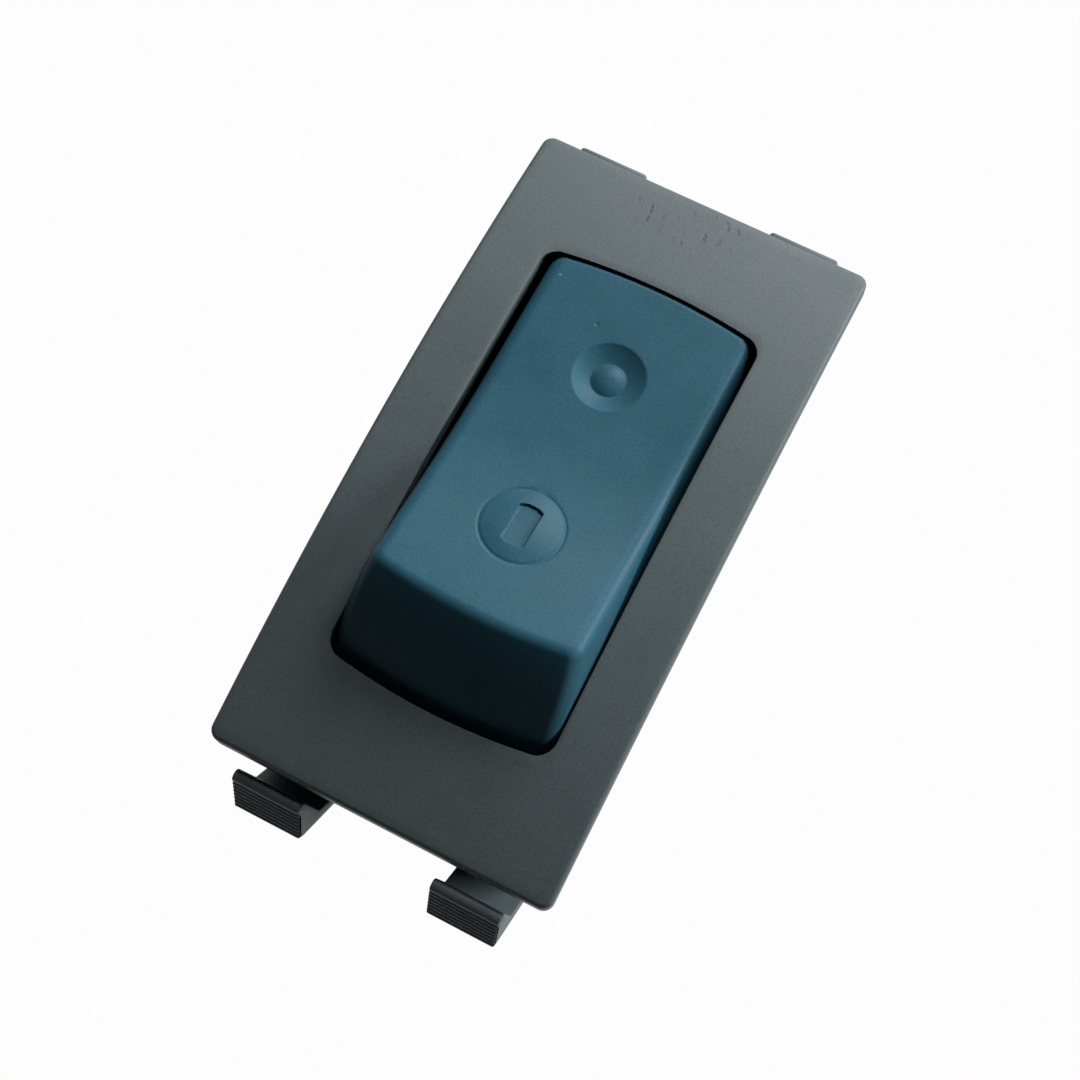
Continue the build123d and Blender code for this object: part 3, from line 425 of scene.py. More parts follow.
def roundCorners(points, steps=5):
    # points are (y, z, radius) corners of a closed outline; a corner with no radius stays sharp
    outline = []
    for k, (y, z, radius) in enumerate(points):
        corner = Vector((y, z))
        if not radius:
            outline.append((y, z))
            continue
        back = (Vector(points[k - 1][:2]) - corner).normalized()
        onward = (Vector(points[(k + 1) % len(points)][:2]) - corner).normalized()
        half = acos(max(-1, min(1, back.dot(onward)))) / 2
        middle = corner + (back + onward).normalized() * radius / sin(half)
        start = corner + back * radius / tan(half) - middle
        end = corner + onward * radius / tan(half) - middle
        turn = start.angle_signed(end)
        for s in range(steps + 1):
            outline.append(tuple(middle + Matrix.Rotation(-turn * s / steps, 2) @ start))
    return outline


def endCaps(ringCount, pointCount):
    # the faces that close the first and the last ring
    return [tuple(range(pointCount)), tuple(range((ringCount - 1) * pointCount, ringCount * pointCount))]


def barShape(name, outline, fromX, toX, edgeRound, steps=3):
    # an outline in the side view drawn along x, its two ends with rounded edges
    rings = []
    for setback, along in quarter(edgeRound, steps)[::-1]:
        rings.append([(fromX + along, y, z) for y, z in insetLoop(outline, setback)])
    for setback, along in quarter(edgeRound, steps):
        rings.append([(toX - along, y, z) for y, z in insetLoop(outline, setback)])
    size = (len(rings), len(outline))
    return rawShape(name, [p for ring in rings for p in ring], ringFaces(*size, False) + endCaps(*size))


def boxShape(name, low, high):
    (x0, y0, z0), (x1, y1, z1) = low, high
    outline = [(y0, z0), (y1, z0), (y1, z1), (y0, z1)]
    points = [(x, y, z) for x in (x0, x1) for y, z in outline]
    return rawShape(name, points, ringFaces(2, 4, False) + endCaps(2, 4))


def axisTurn(direction):
    return Vector(direction).to_track_quat("Z", "Y").to_matrix()


def circleRing(place, axis, radiusAt, along, steps):
    # one ring round an axis; radiusAt gives the radius for each share of a turn
    ring = []
    for k in range(steps):
        a = 2 * pi * k / steps
        r = radiusAt(k / steps)
        ring.append(tuple(Vector(place) + axis @ Vector((r * cos(a), r * sin(a), along))))
    return ring


def turnedShape(name, profile, place, direction, steps=48, hollow=False):
    # a profile of (radius, distance along the axis) pairs spun round an axis
    axis = axisTurn(direction)
    points = []
    for radius, along in profile:
        points += circleRing(place, axis, lambda turn, r=radius: r, along, steps)
    faces = ringFaces(len(profile), steps, hollow)
    if not hollow:
        faces += endCaps(len(profile), steps)
    return rawShape(name, points, faces)


def crossOf(a, b, c):
    return (b[0] - a[0]) * (c[1] - a[1]) - (b[1] - a[1]) * (c[0] - a[0])


def hullOf(points):
    # convex outline round points in the side view
    chain = []
    ordered = sorted(set(points))
    for run in (ordered, ordered[::-1]):
        part = []
        for p in run:
            while len(part) > 1 and crossOf(part[-2], part[-1], p) <= 0:
                part.pop()
            part.append(p)
        chain += part[:-1]
    return chain


def circlePoints(y, z, radius, count=40):
    turn = [2 * pi * k / count for k in range(count)]
    return [(y + radius * cos(a), z + radius * sin(a)) for a in turn]


def quarter(radius, steps):
    # (setback, drop) pairs round a quarter edge, from the side to the front
    turn = [pi / 2 * k / steps for k in range(steps + 1)]
    return [(radius * (1 - cos(a)), radius * (1 - sin(a))) for a in turn]


def bowAt(x, halfWidth, bow):
    # how far a bowed end has fallen back at x
    radius = (halfWidth ** 2 + bow ** 2) / (2 * bow)
    return radius - sqrt(max(radius ** 2 - x ** 2, 0))


# Bezel: the arched plate

bezel = dict(
    width=25.0, length=48.4, thickness=1.7, rise=2.4, cornerRadius=0.8, edgeRound=0.3, backRound=0.12,
    openingHalfWidth=8.18, openingRadius=20.2, openingBow=0.6, openingCorner=1.1, openingRound=0.08,
    pivotZ=-8.7,
    # where rings run down the sides, as shares of the thickness, and how dense the mesh is
    openingDepths=(0.65, 0.35), outerDepth=0.6,
    frontRings=12, backRings=4, edgeSteps=5, lipSteps=4, loopX=26, loopY=56, loopCorner=8,
)
crownZ = bezel["thickness"] + bezel["rise"]
archRadius = ((bezel["length"] / 2) ** 2 + bezel["rise"] ** 2) / (2 * bezel["rise"])


def archZ(y):
    return crownZ - archRadius + sqrt(archRadius ** 2 - y ** 2)


def openingEnd(x, z):
    # where the space that the rocker sweeps ends at this height
    radius = bezel["openingRadius"] - bowAt(x, bezel["openingHalfWidth"], bezel["openingBow"])
    return sqrt(radius ** 2 - (z - bezel["pivotZ"]) ** 2)


def outerRing(inset, drop):
    loop = roundedLoop(bezel["width"] / 2 - inset, bezel["length"] / 2 - inset,
                       bezel["cornerRadius"] - inset, bezel["loopX"], bezel["loopY"], bezel["loopCorner"])
    return [(x, y, archZ(y) - drop) for x, y in loop]


def openingRing(outset, drop):
    nominal = openingEnd(0, archZ(openingEnd(0, crownZ)))
    half = bezel["openingHalfWidth"]
    loop = roundedLoop(half + outset, nominal + outset, bezel["openingCorner"] + outset,
                       bezel["loopX"], bezel["loopY"], bezel["loopCorner"])
    ring = []
    for x, y in loop:
        inner = min(abs(x), half)
        y *= openingEnd(inner, archZ(y) - drop) / nominal
        ring.append((x, y, archZ(y) - drop))
    return ring


def between(first, second, t, drop):
    # a ring part of the way from one ring to another, at the same depth under the arch
    ring = []
    for a, b in zip(first, second):
        y = a[1] + (b[1] - a[1]) * t
        ring.append((a[0] + (b[0] - a[0]) * t, y, archZ(y) - drop))
    return ring


def buildBezelPlate():
    # rings run up the opening, over the front, down the outer edge and back under the plate
    thick = bezel["thickness"]
    back = bezel["backRound"]
    front = bezel["edgeRound"]
    rings = [openingRing(0, thick - back * 1.5)]
    rings += [openingRing(0, thick * share) for share in bezel["openingDepths"]]
    rings += [openingRing(*step) for step in quarter(bezel["openingRound"], bezel["lipSteps"])]
    innerEdge = rings[-1]
    outerEdge = outerRing(front, 0)
    count = bezel["frontRings"]
    rings += [between(innerEdge, outerEdge, k / count, 0) for k in range(1, count)]
    rings += [outerRing(*step) for step in quarter(front, bezel["edgeSteps"])[::-1]]
    rings += [outerRing(0, thick * bezel["outerDepth"]), outerRing(0, thick - back)]
    backOuter = outerRing(back, thick)
    backInner = openingRing(back, thick)
    count = bezel["backRings"]
    rings += [backOuter]
    rings += [between(backOuter, backInner, k / count, thick) for k in range(1, count)]
    rings += [backInner]
    points = [p for ring in rings for p in ring]
    plate = rawShape("bezelPlate", points, ringFaces(len(rings), len(rings[0]), True))
    return dressPiece(plate, "grey_plastic", "housing")


bezelPlate = buildBezelPlate()
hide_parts("bezel_plate")
print("bezel plate built")


# Bezel: the skirt with its windows and pivot lugs

skirt = dict(
    width=22.0, length=42.8, wall=1.2, bottom=-11.9, cornerRadius=1.0, innerRadius=0.3, edgeRound=0.18,
    sinkIntoPlate=0.9, levels=(-3.0, -8.0), edgeSteps=3, countX=10, countY=24, countCorner=6,
    windowY=12.0, windowWidth=4.3, windowLow=-10.85, windowHigh=-9.15,
    lugRadius=2.6, lugRound=0.15, pinHole=1.02, lugFace=8.18,
)


def skirtRing(outset, z=None):
    # outset counts from the inner face; with no height the ring ends inside the plate
    halfX = skirt["width"] / 2 - skirt["wall"] + outset
    halfY = skirt["length"] / 2 - skirt["wall"] + outset
    share = outset / skirt["wall"]
    radius = skirt["innerRadius"] + (skirt["cornerRadius"] - skirt["innerRadius"]) * share
    loop = roundedLoop(halfX, halfY, radius, skirt["countX"], skirt["countY"], skirt["countCorner"])
    return [(x, y, archZ(y) - skirt["sinkIntoPlate"] if z is None else z) for x, y in loop]


def buildSkirt():
    # rings run down the outside and up the inside
    wall = skirt["wall"]
    edge = quarter(skirt["edgeRound"], skirt["edgeSteps"])
    foot = [(setback, skirt["bottom"] + rise) for setback, rise in edge]
    rings = [skirtRing(wall)]
    rings += [skirtRing(wall, z) for z in skirt["levels"]]
    rings += [skirtRing(wall - setback, z) for setback, z in foot]
    rings += [skirtRing(setback, z) for setback, z in foot[::-1]]
    rings += [skirtRing(0, z) for z in skirt["levels"][::-1]]
    rings += [skirtRing(0)]
    points = [p for ring in rings for p in ring]
    shape = rawShape("bezelSkirt", points, ringFaces(len(rings), len(rings[0]), True))
    reach = skirt["width"]
    halfWindow = skirt["windowWidth"] / 2
    cutters = []
    for y in (-skirt["windowY"], skirt["windowY"]):
        low = (-reach, y - halfWindow, skirt["windowLow"])
        high = (reach, y + halfWindow, skirt["windowHigh"])
        cutters.append(boxShape("windowCutter", low, high))
    bore = [(skirt["pinHole"], -reach), (skirt["pinHole"], reach)]
    cutters.append(turnedShape("pinCutter", bore, (0, 0, bezel["pivotZ"]), (1, 0, 0)))
    carve(shape, cutters, "DIFFERENCE")
    dressPiece(shape, "grey_plastic", "housing")


def buildLugs():
    # a ring round the pin on each side, from the middle of the wall to near the rocker
    outer = skirt["width"] / 2 - skirt["wall"] / 2 - skirt["lugFace"]
    edge = skirt["lugRound"]
    radius = skirt["lugRadius"]
    hole = skirt["pinHole"]
    profile = [(hole, outer), (radius, outer)]
    profile += [(radius - setback, along) for setback, along in quarter(edge, skirt["edgeSteps"])]
    profile += [(hole + edge, 0), (hole, edge)]
    for side in (-1, 1):
        place = (side * skirt["lugFace"], 0, bezel["pivotZ"])
        lug = turnedShape("pivotLug", profile, place, (side, 0, 0), hollow=True)
        dressPiece(lug, "grey_plastic", "housing")


buildSkirt()
buildLugs()
print("bezel skirt built")


# Bezel: spring hooks at one end, fixed tabs at the other

hook = dict(
    width=5.05, spacing=14.85, springOut=(0.1, 0.45), edgeRound=0.14,  # springOut: left hook, right hook
    lipY=-24.95, lipTop=0.55, lipThickness=0.9, lipSteps=10,
    noseY=-27.0, noseZ=-3.9, chinY=-26.7, chinZ=-4.6,
    floorY=-24.6, floorZ=-5.3, floorRound=0.5, legRoot=1.3,
    ribs=7, ribDepth=0.18, grooveShare=0.12, crestShare=0.14,  # shares of the way from rib to rib
)
tab = dict(width=5.2, spacing=14.8, reach=0.5, root=1.0, thickness=1.2, step=0.5, edgeRound=0.28)


def hookOutline(springOut):
    # round the lip, down the ribbed front to the chin, along the leg to its root and back up
    lipRadius = hook["lipThickness"] / 2
    lipY = hook["lipY"] - lipRadius
    lipZ = hook["lipTop"] - lipRadius
    turn = [pi * k / hook["lipSteps"] for k in range(hook["lipSteps"] + 1)]
    outline = [(lipY + lipRadius * cos(a), lipZ + lipRadius * sin(a)) for a in turn]
    front = Vector(outline[-1])
    step = (Vector((hook["noseY"], hook["noseZ"])) - front) / hook["ribs"]
    for k in range(hook["ribs"]):
        groove = front + step * (k + 0.5) + Vector((hook["ribDepth"], 0))
        crest = front + step * (k + 1)
        outline += [tuple(groove - step * hook["grooveShare"]), tuple(groove + step * hook["grooveShare"])]
        outline += [tuple(crest - step * hook["crestShare"]), tuple(crest)]
    outline.append((hook["chinY"], hook["chinZ"]))
    rootY = springOut - skirt["length"] / 2
    wallY = rootY + skirt["wall"]
    bottom = skirt["bottom"]
    legTop = bottom + hook["legRoot"]
    outline += [(rootY, bottom), (wallY, bottom), (wallY, legTop), (rootY, legTop)]
    floorCorner = (hook["floorY"], hook["floorZ"], hook["floorRound"])
    outline += roundCorners([(rootY, legTop, 0), floorCorner, (hook["lipY"], lipZ, 0)])[1:-1]
    return [(y - springOut, z) for y, z in outline]


def pairOfBars(name, size, outlines):
    # two bars side by side, one outline each
    half = size["width"] / 2
    for side, outline in zip((-1, 1), outlines):
        middle = side * size["spacing"] / 2
        shape = barShape(name, outline, middle - half, middle + half, size["edgeRound"])
        dressPiece(shape, "grey_plastic", "housing", sharpAngle=30)


def tabOutline():
    root = bezel["length"] / 2 - tab["root"]
    tip = bezel["length"] / 2 + tab["reach"]
    top = archZ(bezel["length"] / 2) - tab["step"]
    low = top - tab["thickness"]
    edge = tab["edgeRound"]
    return roundCorners([(root, low, 0), (tip, low, edge), (tip, top, edge), (root, top, 0)])


pairOfBars("springHook", hook, [hookOutline(springOut) for springOut in hook["springOut"]])
pairOfBars("fixedTab", tab, [tabOutline(), tabOutline()])
print("hooks and tabs built")


# Rocker: shell with its two marks; u runs along its face towards the O mark, h up from the pivot

rocker = dict(
    width=16.0, faceHeight=13.9, swing=12.2, wall=1.3,
    endRadius=(19.5, 20.06), endRound=(1.3, 0.5), endBow=0.6,  # I end, O end
    sideRound=0.95, sideLean=13.0, leanEnd=9.5, faceCorner=0.3, cornerRadius=1.0,
    rimHeight=5.0, rimRound=0.15, rimBreak=(0.1, 0.12), coreRound=0.3, hollowRadius=20.06,
    hollowCorners=(0.8, 0.45, 0.35, 0.35, 0.3, 0.2),  # from the rim up to the ceiling
    # the face's grid, fine round the marks, and the rings below it
    gridX=6.2, gridU=11.6, fine=0.06, coarse=0.4, fineX=3.1, fineU=(3.3, 9.8),
    faceRings=3, roundRings=9, wallRings=12, cornerSteps=5,
)
valley = dict(u=-1.5, blend=5.5, depth=0.95, slopeToI=0.085, slopeToO=0.12, fromHeight=9.5, fullHeight=12.5,
              heldFrom=9.0, heldBy=13.0)
dimple = dict(u=6.25, radius=2.5, depth=0.62, soft=0.12, step=0.02, bumpRadius=1.22, bumpHeight=0.42)
dome = dict(u=-6.4, radius=2.84, height=0.34, foot=0.16, footDepth=0.04,
            barHalfWidth=0.875, barHalfLength=1.65, barDepth=0.3, barWall=0.07)
nick = dict(x=-2.5, u=9.4, radius=0.2, depth=0.05)
tilt = radians(rocker["swing"])
wallFoot = rocker["rimHeight"] + rocker["rimRound"]


def rockerPoint(x, u, h):
    # from the rocker's own x, u and h to the frame's x, y and z
    return (x, u * cos(tilt) + h * sin(tilt), bezel["pivotZ"] + h * cos(tilt) - u * sin(tilt))


def smoothStep(value, low, high):
    t = min(max((value - low) / (high - low), 0), 1)
    return t * t * (3 - 2 * t)


def dip(u):
    # two slopes that meet in a soft valley
    away = u - valley["u"]
    blend = valley["blend"]
    softened = abs(away) if abs(away) > blend else (away ** 2 + blend ** 2) / (2 * blend)
    towardsI = (softened - away) / 2
    towardsO = (softened + away) / 2
    return valley["slopeToI"] * towardsI + valley["slopeToO"] * towardsO - valley["depth"]


def dished(x, u, h):
    # the shell's top follows the dip of the face; its ends keep their distance from the pivot,
    # so that they still swing clear
    share = smoothStep(h, valley["fromHeight"], valley["fullHeight"])
    kept = sqrt(max(u ** 2 + h ** 2 - (h + dip(u) * share) ** 2, 0))
    held = smoothStep(abs(u), valley["heldFrom"], valley["heldBy"])
    moved = u + ((kept if u > 0 else -kept) - u) * held
    return x, moved, h + dip(moved) * share


def capHeight(distance, radius, height):
    # a spherical cap, 0 outside its rim
    ball = (radius ** 2 + height ** 2) / (2 * height)
    return sqrt(ball ** 2 - min(distance, radius) ** 2) - (ball - height)


def dimpleRelief(away):
    # the O mark: a round hollow with a bump in its middle
    if away >= dimple["radius"] + dimple["soft"]:
        return 0.0
    rim = smoothStep(away, dimple["radius"] - dimple["soft"], dimple["radius"] + dimple["soft"])
    hollow = capHeight(away, dimple["radius"], dimple["depth"]) + dimple["step"] * (1 - rim)
    return capHeight(away, dimple["bumpRadius"], dimple["bumpHeight"]) - hollow


def domeRelief(x, away):
    # the I mark: a low dome with a groove round its foot and a sunk bar
    if away >= dome["radius"] + dome["foot"]:
        return 0.0
    fromEdge = min(abs(away - dome["radius"]) / dome["foot"], 1)
    relief = capHeight(away, dome["radius"], dome["height"]) - dome["footDepth"] * (1 - fromEdge)
    sideways = dome["barHalfWidth"] - abs(x)
    endways = dome["barHalfLength"] - away
    sunk = smoothStep(min(sideways, endways), 0, dome["barWall"])
    floor = dome["height"] - dome["barDepth"]
    return relief + (floor - relief) * sunk


def faceRelief(x, u):
    away = hypot(x - nick["x"], u - nick["u"])
    chipped = nick["depth"] * max(1 - away / nick["radius"], 0)
    return dimpleRelief(hypot(x, u - dimple["u"])) + domeRelief(x, hypot(x, u - dome["u"])) - chipped


def gridLines(reach, fineFrom, fineTo):
    # evenly spaced lines from -reach to reach, closer together in the fine stretch
    lines = [0.0]
    while lines[-1] < reach:
        inFine = fineFrom <= lines[-1] < fineTo
        lines.append(lines[-1] + (rocker["fine"] if inFine else rocker["coarse"]))
    scale = reach / lines[-1]
    lines = [v * scale for v in lines]
    return [-v for v in lines[:0:-1]] + lines


def sweptEnd(radius, x, angle=None, height=None):
    # a point of an end that is swept about the pivot and bowed across x, by its angle or its height
    half = rocker["width"] / 2
    radius -= bowAt(min(abs(x), half), half, rocker["endBow"])
    if height is not None:
        return sqrt(radius ** 2 - height ** 2), height
    return radius * sin(angle), radius * cos(angle)


def roundedSide(share):
    # the round between the face and a side that leans in: half width and height
    edge = rocker["sideRound"]
    lean = radians(rocker["sideLean"])
    low = rocker["faceHeight"] - edge * (1 - sin(lean))
    flat = rocker["width"] / 2 - tan(lean) * (low - rocker["leanEnd"]) / 2 - edge * cos(lean)
    a = (pi / 2 - lean) * share
    return flat + edge * sin(a), rocker["faceHeight"] - edge * (1 - cos(a))


def wallSide(share):
    # the side between its upper round and the rim, upright below leanEnd
    x, top = roundedSide(1)
    h = top + (wallFoot - top) * share
    above = max(h - rocker["leanEnd"], 0) / (top - rocker["leanEnd"])
    return rocker["width"] / 2 - (rocker["width"] / 2 - x) * above ** 2, h


def endRoundStart(end, x):
    # where the centre of an end's upper round lies
    edge = rocker["endRound"][end]
    return sweptEnd(rocker["endRadius"][end] - edge, x, height=rocker["faceHeight"] - edge)


def roundedEnd(end, x, share):
    # the round between the face and an end, share runs from the face to the end
    edge = rocker["endRound"][end]
    u, level = endRoundStart(end, x)
    a = atan2(u, level) * share
    return u + edge * sin(a), level + edge * cos(a)


def wallEnd(end, x, share):
    # the end between its upper round and the rim
    radius = rocker["endRadius"][end]
    start = atan2(*endRoundStart(end, x))
    stop = atan2(*sweptEnd(radius, x, height=wallFoot))
    return sweptEnd(radius, x, angle=start + (stop - start) * share)


def rockerRing(halfX, sideHeight, endAt, cornerRadius, acrossLines, alongLines):
    # one closed loop round the rocker, point for point with the border of the face grid;
    # endAt(end, x) gives u and h of the I end (0) or the O end (1)
    steps = rocker["cornerSteps"]
    cornerX = halfX - cornerRadius
    ends = []
    for end in (0, 1):
        tip = endAt(end, 0)[0]
        bow = max(tip - endAt(end, halfX)[0], 0.001)
        big = (halfX ** 2 + bow ** 2) / (2 * bow)
        cornerU = tip - big + sqrt((big - cornerRadius) ** 2 - cornerX ** 2)
        meet = atan2(cornerU - tip + big, cornerX)
        tangentX = cornerX + cornerRadius * cos(meet)
        height = endAt(end, tangentX)[1]
        ends.append(dict(tip=tip, big=big, cornerU=cornerU, meet=meet, tangentX=tangentX, height=height))

    def onCorner(t, signX, end):
        shape = ends[end]
        a = shape["meet"] * t
        h = sideHeight + (shape["height"] - sideHeight) * smoothStep(t, 0, 1)
        u = shape["cornerU"] + cornerRadius * sin(a)
        return (signX * (cornerX + cornerRadius * cos(a)), u if end else -u, h)

    def onSide(line, lines, signX):
        index = min(line, len(lines) - 1 - line)
        end = 1 if lines[line] > 0 else 0
        if index < steps:
            return onCorner(0.5 - 0.5 * index / steps, signX, end)
        return (signX * halfX, lines[line] / lines[-1 - steps] * ends[end]["cornerU"], sideHeight)

    def onEnd(line, lines, end):
        index = min(line, len(lines) - 1 - line)
        signX = 1 if lines[line] > 0 else -1
        if index < steps:
            return onCorner(0.5 + 0.5 * index / steps, signX, end)
        shape = ends[end]
        x = lines[line] / lines[-1 - steps] * shape["tangentX"]
        u = shape["tip"] - shape["big"] + sqrt(shape["big"] ** 2 - x ** 2)
        return (x, u if end else -u, endAt(end, abs(x))[1])

    countX = len(acrossLines)
    countU = len(alongLines)
    ring = [onSide(k, alongLines, 1) for k in range(countU - 1)]
    ring += [onEnd(k, acrossLines, 1) for k in range(countX - 1, 0, -1)]
    ring += [onSide(k, alongLines, -1) for k in range(countU - 1, 0, -1)]
    ring += [onEnd(k, acrossLines, 0) for k in range(countX - 1)]
    return ring


def faceGrid(across, along):
    # the face with its marks, and the indices of its border in the order of rockerRing
    countX = len(across)
    countU = len(along)
    points = [(x, u, rocker["faceHeight"] + faceRelief(x, u)) for x in across for u in along]
    faces = []
    for i in range(countX - 1):
        for j in range(countU - 1):
            a = i * countU + j
            faces.append((a, a + countU, a + countU + 1, a + 1))
    border = [(countX - 1) * countU + j for j in range(countU - 1)]
    border += [i * countU + countU - 1 for i in range(countX - 1, 0, -1)]
    border += [j for j in range(countU - 1, 0, -1)]
    border += [i * countU for i in range(countX - 1)]
    return points, faces, border


def outsideRings(across, along):
    # over the round at the face's edge and down the walls
    corner = rocker["faceCorner"]
    growth = rocker["cornerRadius"] - corner
    rings = []
    for k in range(rocker["roundRings"] + 1):
        share = k / rocker["roundRings"]
        radius = corner + growth * sin(pi / 2 * share)
        rings.append(rockerRing(*roundedSide(share), lambda end, x: roundedEnd(end, x, share), radius,
                                across, along))
    for k in range(1, rocker["wallRings"] + 1):
        share = k / rocker["wallRings"]
        rings.append(rockerRing(*wallSide(share), lambda end, x: wallEnd(end, x, share),
                                rocker["cornerRadius"], across, along))
    return rings


def insideRings(across, along):
    # round the rim and up into the hollow; an inset counts from the outside
    rim = rocker["rimHeight"]
    wall = rocker["wall"]
    core = rocker["coreRound"]
    ceiling = rocker["faceHeight"] - wall
    inwards, upwards = rocker["rimBreak"]
    walls = rocker["endRadius"]
    hollow = (rocker["hollowRadius"], rocker["hollowRadius"])
    steps = [
        (rocker["rimRound"], rim, walls),
        (wall - inwards, rim, hollow),
        (wall, rim + upwards, hollow),
        (wall, ceiling - core, hollow),
        (wall + core * 0.3, ceiling - core * 0.3, hollow),
        (wall + core, ceiling, hollow),
    ]
    rings = []
    for (inset, height, radii), corner in zip(steps, rocker["hollowCorners"]):
        rings.append(rockerRing(rocker["width"] / 2 - inset, height,
                                lambda end, x: sweptEnd(radii[end] - inset, x, height=height),
                                corner, across, along))
    return rings


def buildRockerShell():
    across = gridLines(rocker["gridX"], 0, rocker["fineX"])
    along = gridLines(rocker["gridU"], *rocker["fineU"])
    points, faces, border = faceGrid(across, along)
    rings = outsideRings(across, along)
    edge = [(Vector(points[b]), Vector(q)) for b, q in zip(border, rings[0])]
    shares = [k / rocker["faceRings"] for k in range(1, rocker["faceRings"])]
    rings = [[tuple(p.lerp(q, t)) for p, q in edge] for t in shares] + rings + insideRings(across, along)
    start = len(points)
    size = len(border)
    for ring in rings:
        points += ring
    for k in range(size):
        m = (k + 1) % size
        faces.append((border[k], border[m], start + m, start + k))
    faces += ringFaces(len(rings), size, False, start)
    faces.append(tuple(range(len(points) - size, len(points))))
    shape = rawShape("rockerShell", [rockerPoint(*dished(*p)) for p in points], faces)
    return dressPiece(shape, "blue_plastic", "rocker", sharpAngle=40)


rockerShell = buildRockerShell()
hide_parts("rocker_button")
print("rocker shell built:", len(rockerShell.data.polygons), "faces")


# Rocker: cheeks with detent noses and washers, and the cam rib

cheek = dict(
    lugRadius=2.6, rootHalfLength=7.0, rootTop=6.3, hubRadius=2.2, noseReach=4.7, noseRadius=0.8,
    noseInset=0.01, washer=0.13, washerRoot=0.5, pinHole=1.05, edgeRound=0.15,
)
camRib = dict(thickness=3.0, lobeOffset=3.0, lobeRadius=3.2, lobeSteps=64, rootHalfLength=5.5, rootSink=0.2)


def sideOutline(points):
    # side view of the tilted rocker: (u, h) pairs to (y, z)
    return [rockerPoint(0, u, h)[1:] for u, h in points]


def cheekShape(side):
    # a cheek from the rim down round the pin, with its detent nose and its washer
    halfX = rocker["width"] / 2
    low, high = sorted((side * (halfX - rocker["wall"]), side * halfX))
    edge = cheek["edgeRound"]
    inset = cheek["noseInset"]
    heights = (rocker["rimHeight"], cheek["rootTop"])
    root = [(s * cheek["rootHalfLength"], h) for s in (-1, 1) for h in heights]
    cheekLine = sideOutline(hullOf(circlePoints(0, 0, cheek["lugRadius"]) + root))
    tip = circlePoints(0, -cheek["noseReach"], cheek["noseRadius"])
    noseLine = sideOutline(hullOf(circlePoints(0, 0, cheek["hubRadius"]) + tip))
    shape = barShape("rockerCheek", cheekLine, low, high, edge)
    nose = barShape("detentNose", noseLine, low + inset, high - inset, edge)
    profile = [(cheek["hubRadius"], -cheek["washerRoot"]), (cheek["hubRadius"], cheek["washer"])]
    washer = turnedShape("cheekWasher", profile, (side * halfX, 0, bezel["pivotZ"]), (side, 0, 0))
    carve(shape, [nose, washer], "UNION")
    return shape


def camRibShape():
    # a rib from the hollow's ceiling, with a hub on the pin and the lobe that presses the plunger
    lobe = circlePoints(-camRib["lobeOffset"], 0, camRib["lobeRadius"], camRib["lobeSteps"])
    top = rocker["faceHeight"] - rocker["wall"] + camRib["rootSink"]
    root = [(s * camRib["rootHalfLength"] - camRib["lobeOffset"] / 2, top) for s in (-1, 1)]
    line = sideOutline(hullOf(circlePoints(0, 0, cheek["hubRadius"]) + lobe + root))
    half = camRib["thickness"] / 2
    return barShape("camRib", line, -half, half, cheek["edgeRound"])


def buildRockerWorks():
    reach = rocker["width"]
    bore = [(cheek["pinHole"], -reach), (cheek["pinHole"], reach)]
    for shape in (cheekShape(-1), cheekShape(1), camRibShape()):
        cutter = turnedShape("pinCutter", bore, (0, 0, bezel["pivotZ"]), (1, 0, 0))
        carve(shape, [cutter], "DIFFERENCE")
        dressPiece(shape, "blue_plastic", "rocker")


buildRockerWorks()
print("rocker works built")


# Screws: threaded shanks and slotted heads

nodeBox = {name: [[v / mm for v in corner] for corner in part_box(name)] for name in nodes}
screwKinds = dict(
    clamp=dict(node="clamp_screws", sunk=False, headRadius=2.2, headHeight=1.6, edge=0.2, shankRadius=1.25,
               length=4.7, pitch=0.45, thread=3.1, slotWidth=0.7, slotDepth=0.8),
    cover=dict(node="cover_screws", sunk=True, headRadius=2.1, headHeight=1.15, edge=0.05, shankRadius=1.1,
               length=7.0, pitch=0.45, thread=5.2, slotWidth=0.7, slotDepth=0.575, spacing=13.0),
    micro=dict(node="micro_screws", sunk=False, headRadius=1.9, headHeight=1.2, edge=0.3, shankRadius=1.0,
               length=17.8, pitch=0.4, thread=5.6, slotWidth=0.7, slotDepth=0.6),
)
thread = dict(depth=0.22, taper=0.5, tipShare=0.72, runOut=0.1, ringsPerPitch=6, steps=36)


def screwProfile(kind):
    # the head, from its top edge down to where the shank starts
    radius = kind["headRadius"]
    height = kind["headHeight"]
    shank = (kind["shankRadius"], height)
    if kind["sunk"]:
        return [(radius - kind["edge"], 0), (radius, kind["edge"]), shank]
    lowEdge = 0.1
    rings = [(radius - drop, setback) for setback, drop in quarter(kind["edge"], 4)]
    return rings + [(radius, height - lowEdge), (radius - lowEdge, height), shank]


def threadRadius(kind, along, turn):
    # a sharp thread that fades in at its start and tapers at the tip
    fade = smoothStep(along - (kind["length"] - kind["thread"]), 0, kind["pitch"])
    taper = smoothStep(kind["length"] - along, 0, thread["taper"])
    tooth = abs((along / kind["pitch"] + turn) % 1 * 2 - 1)
    radius = kind["shankRadius"] - thread["depth"] * tooth * fade
    return radius * (thread["tipShare"] + (1 - thread["tipShare"]) * taper)


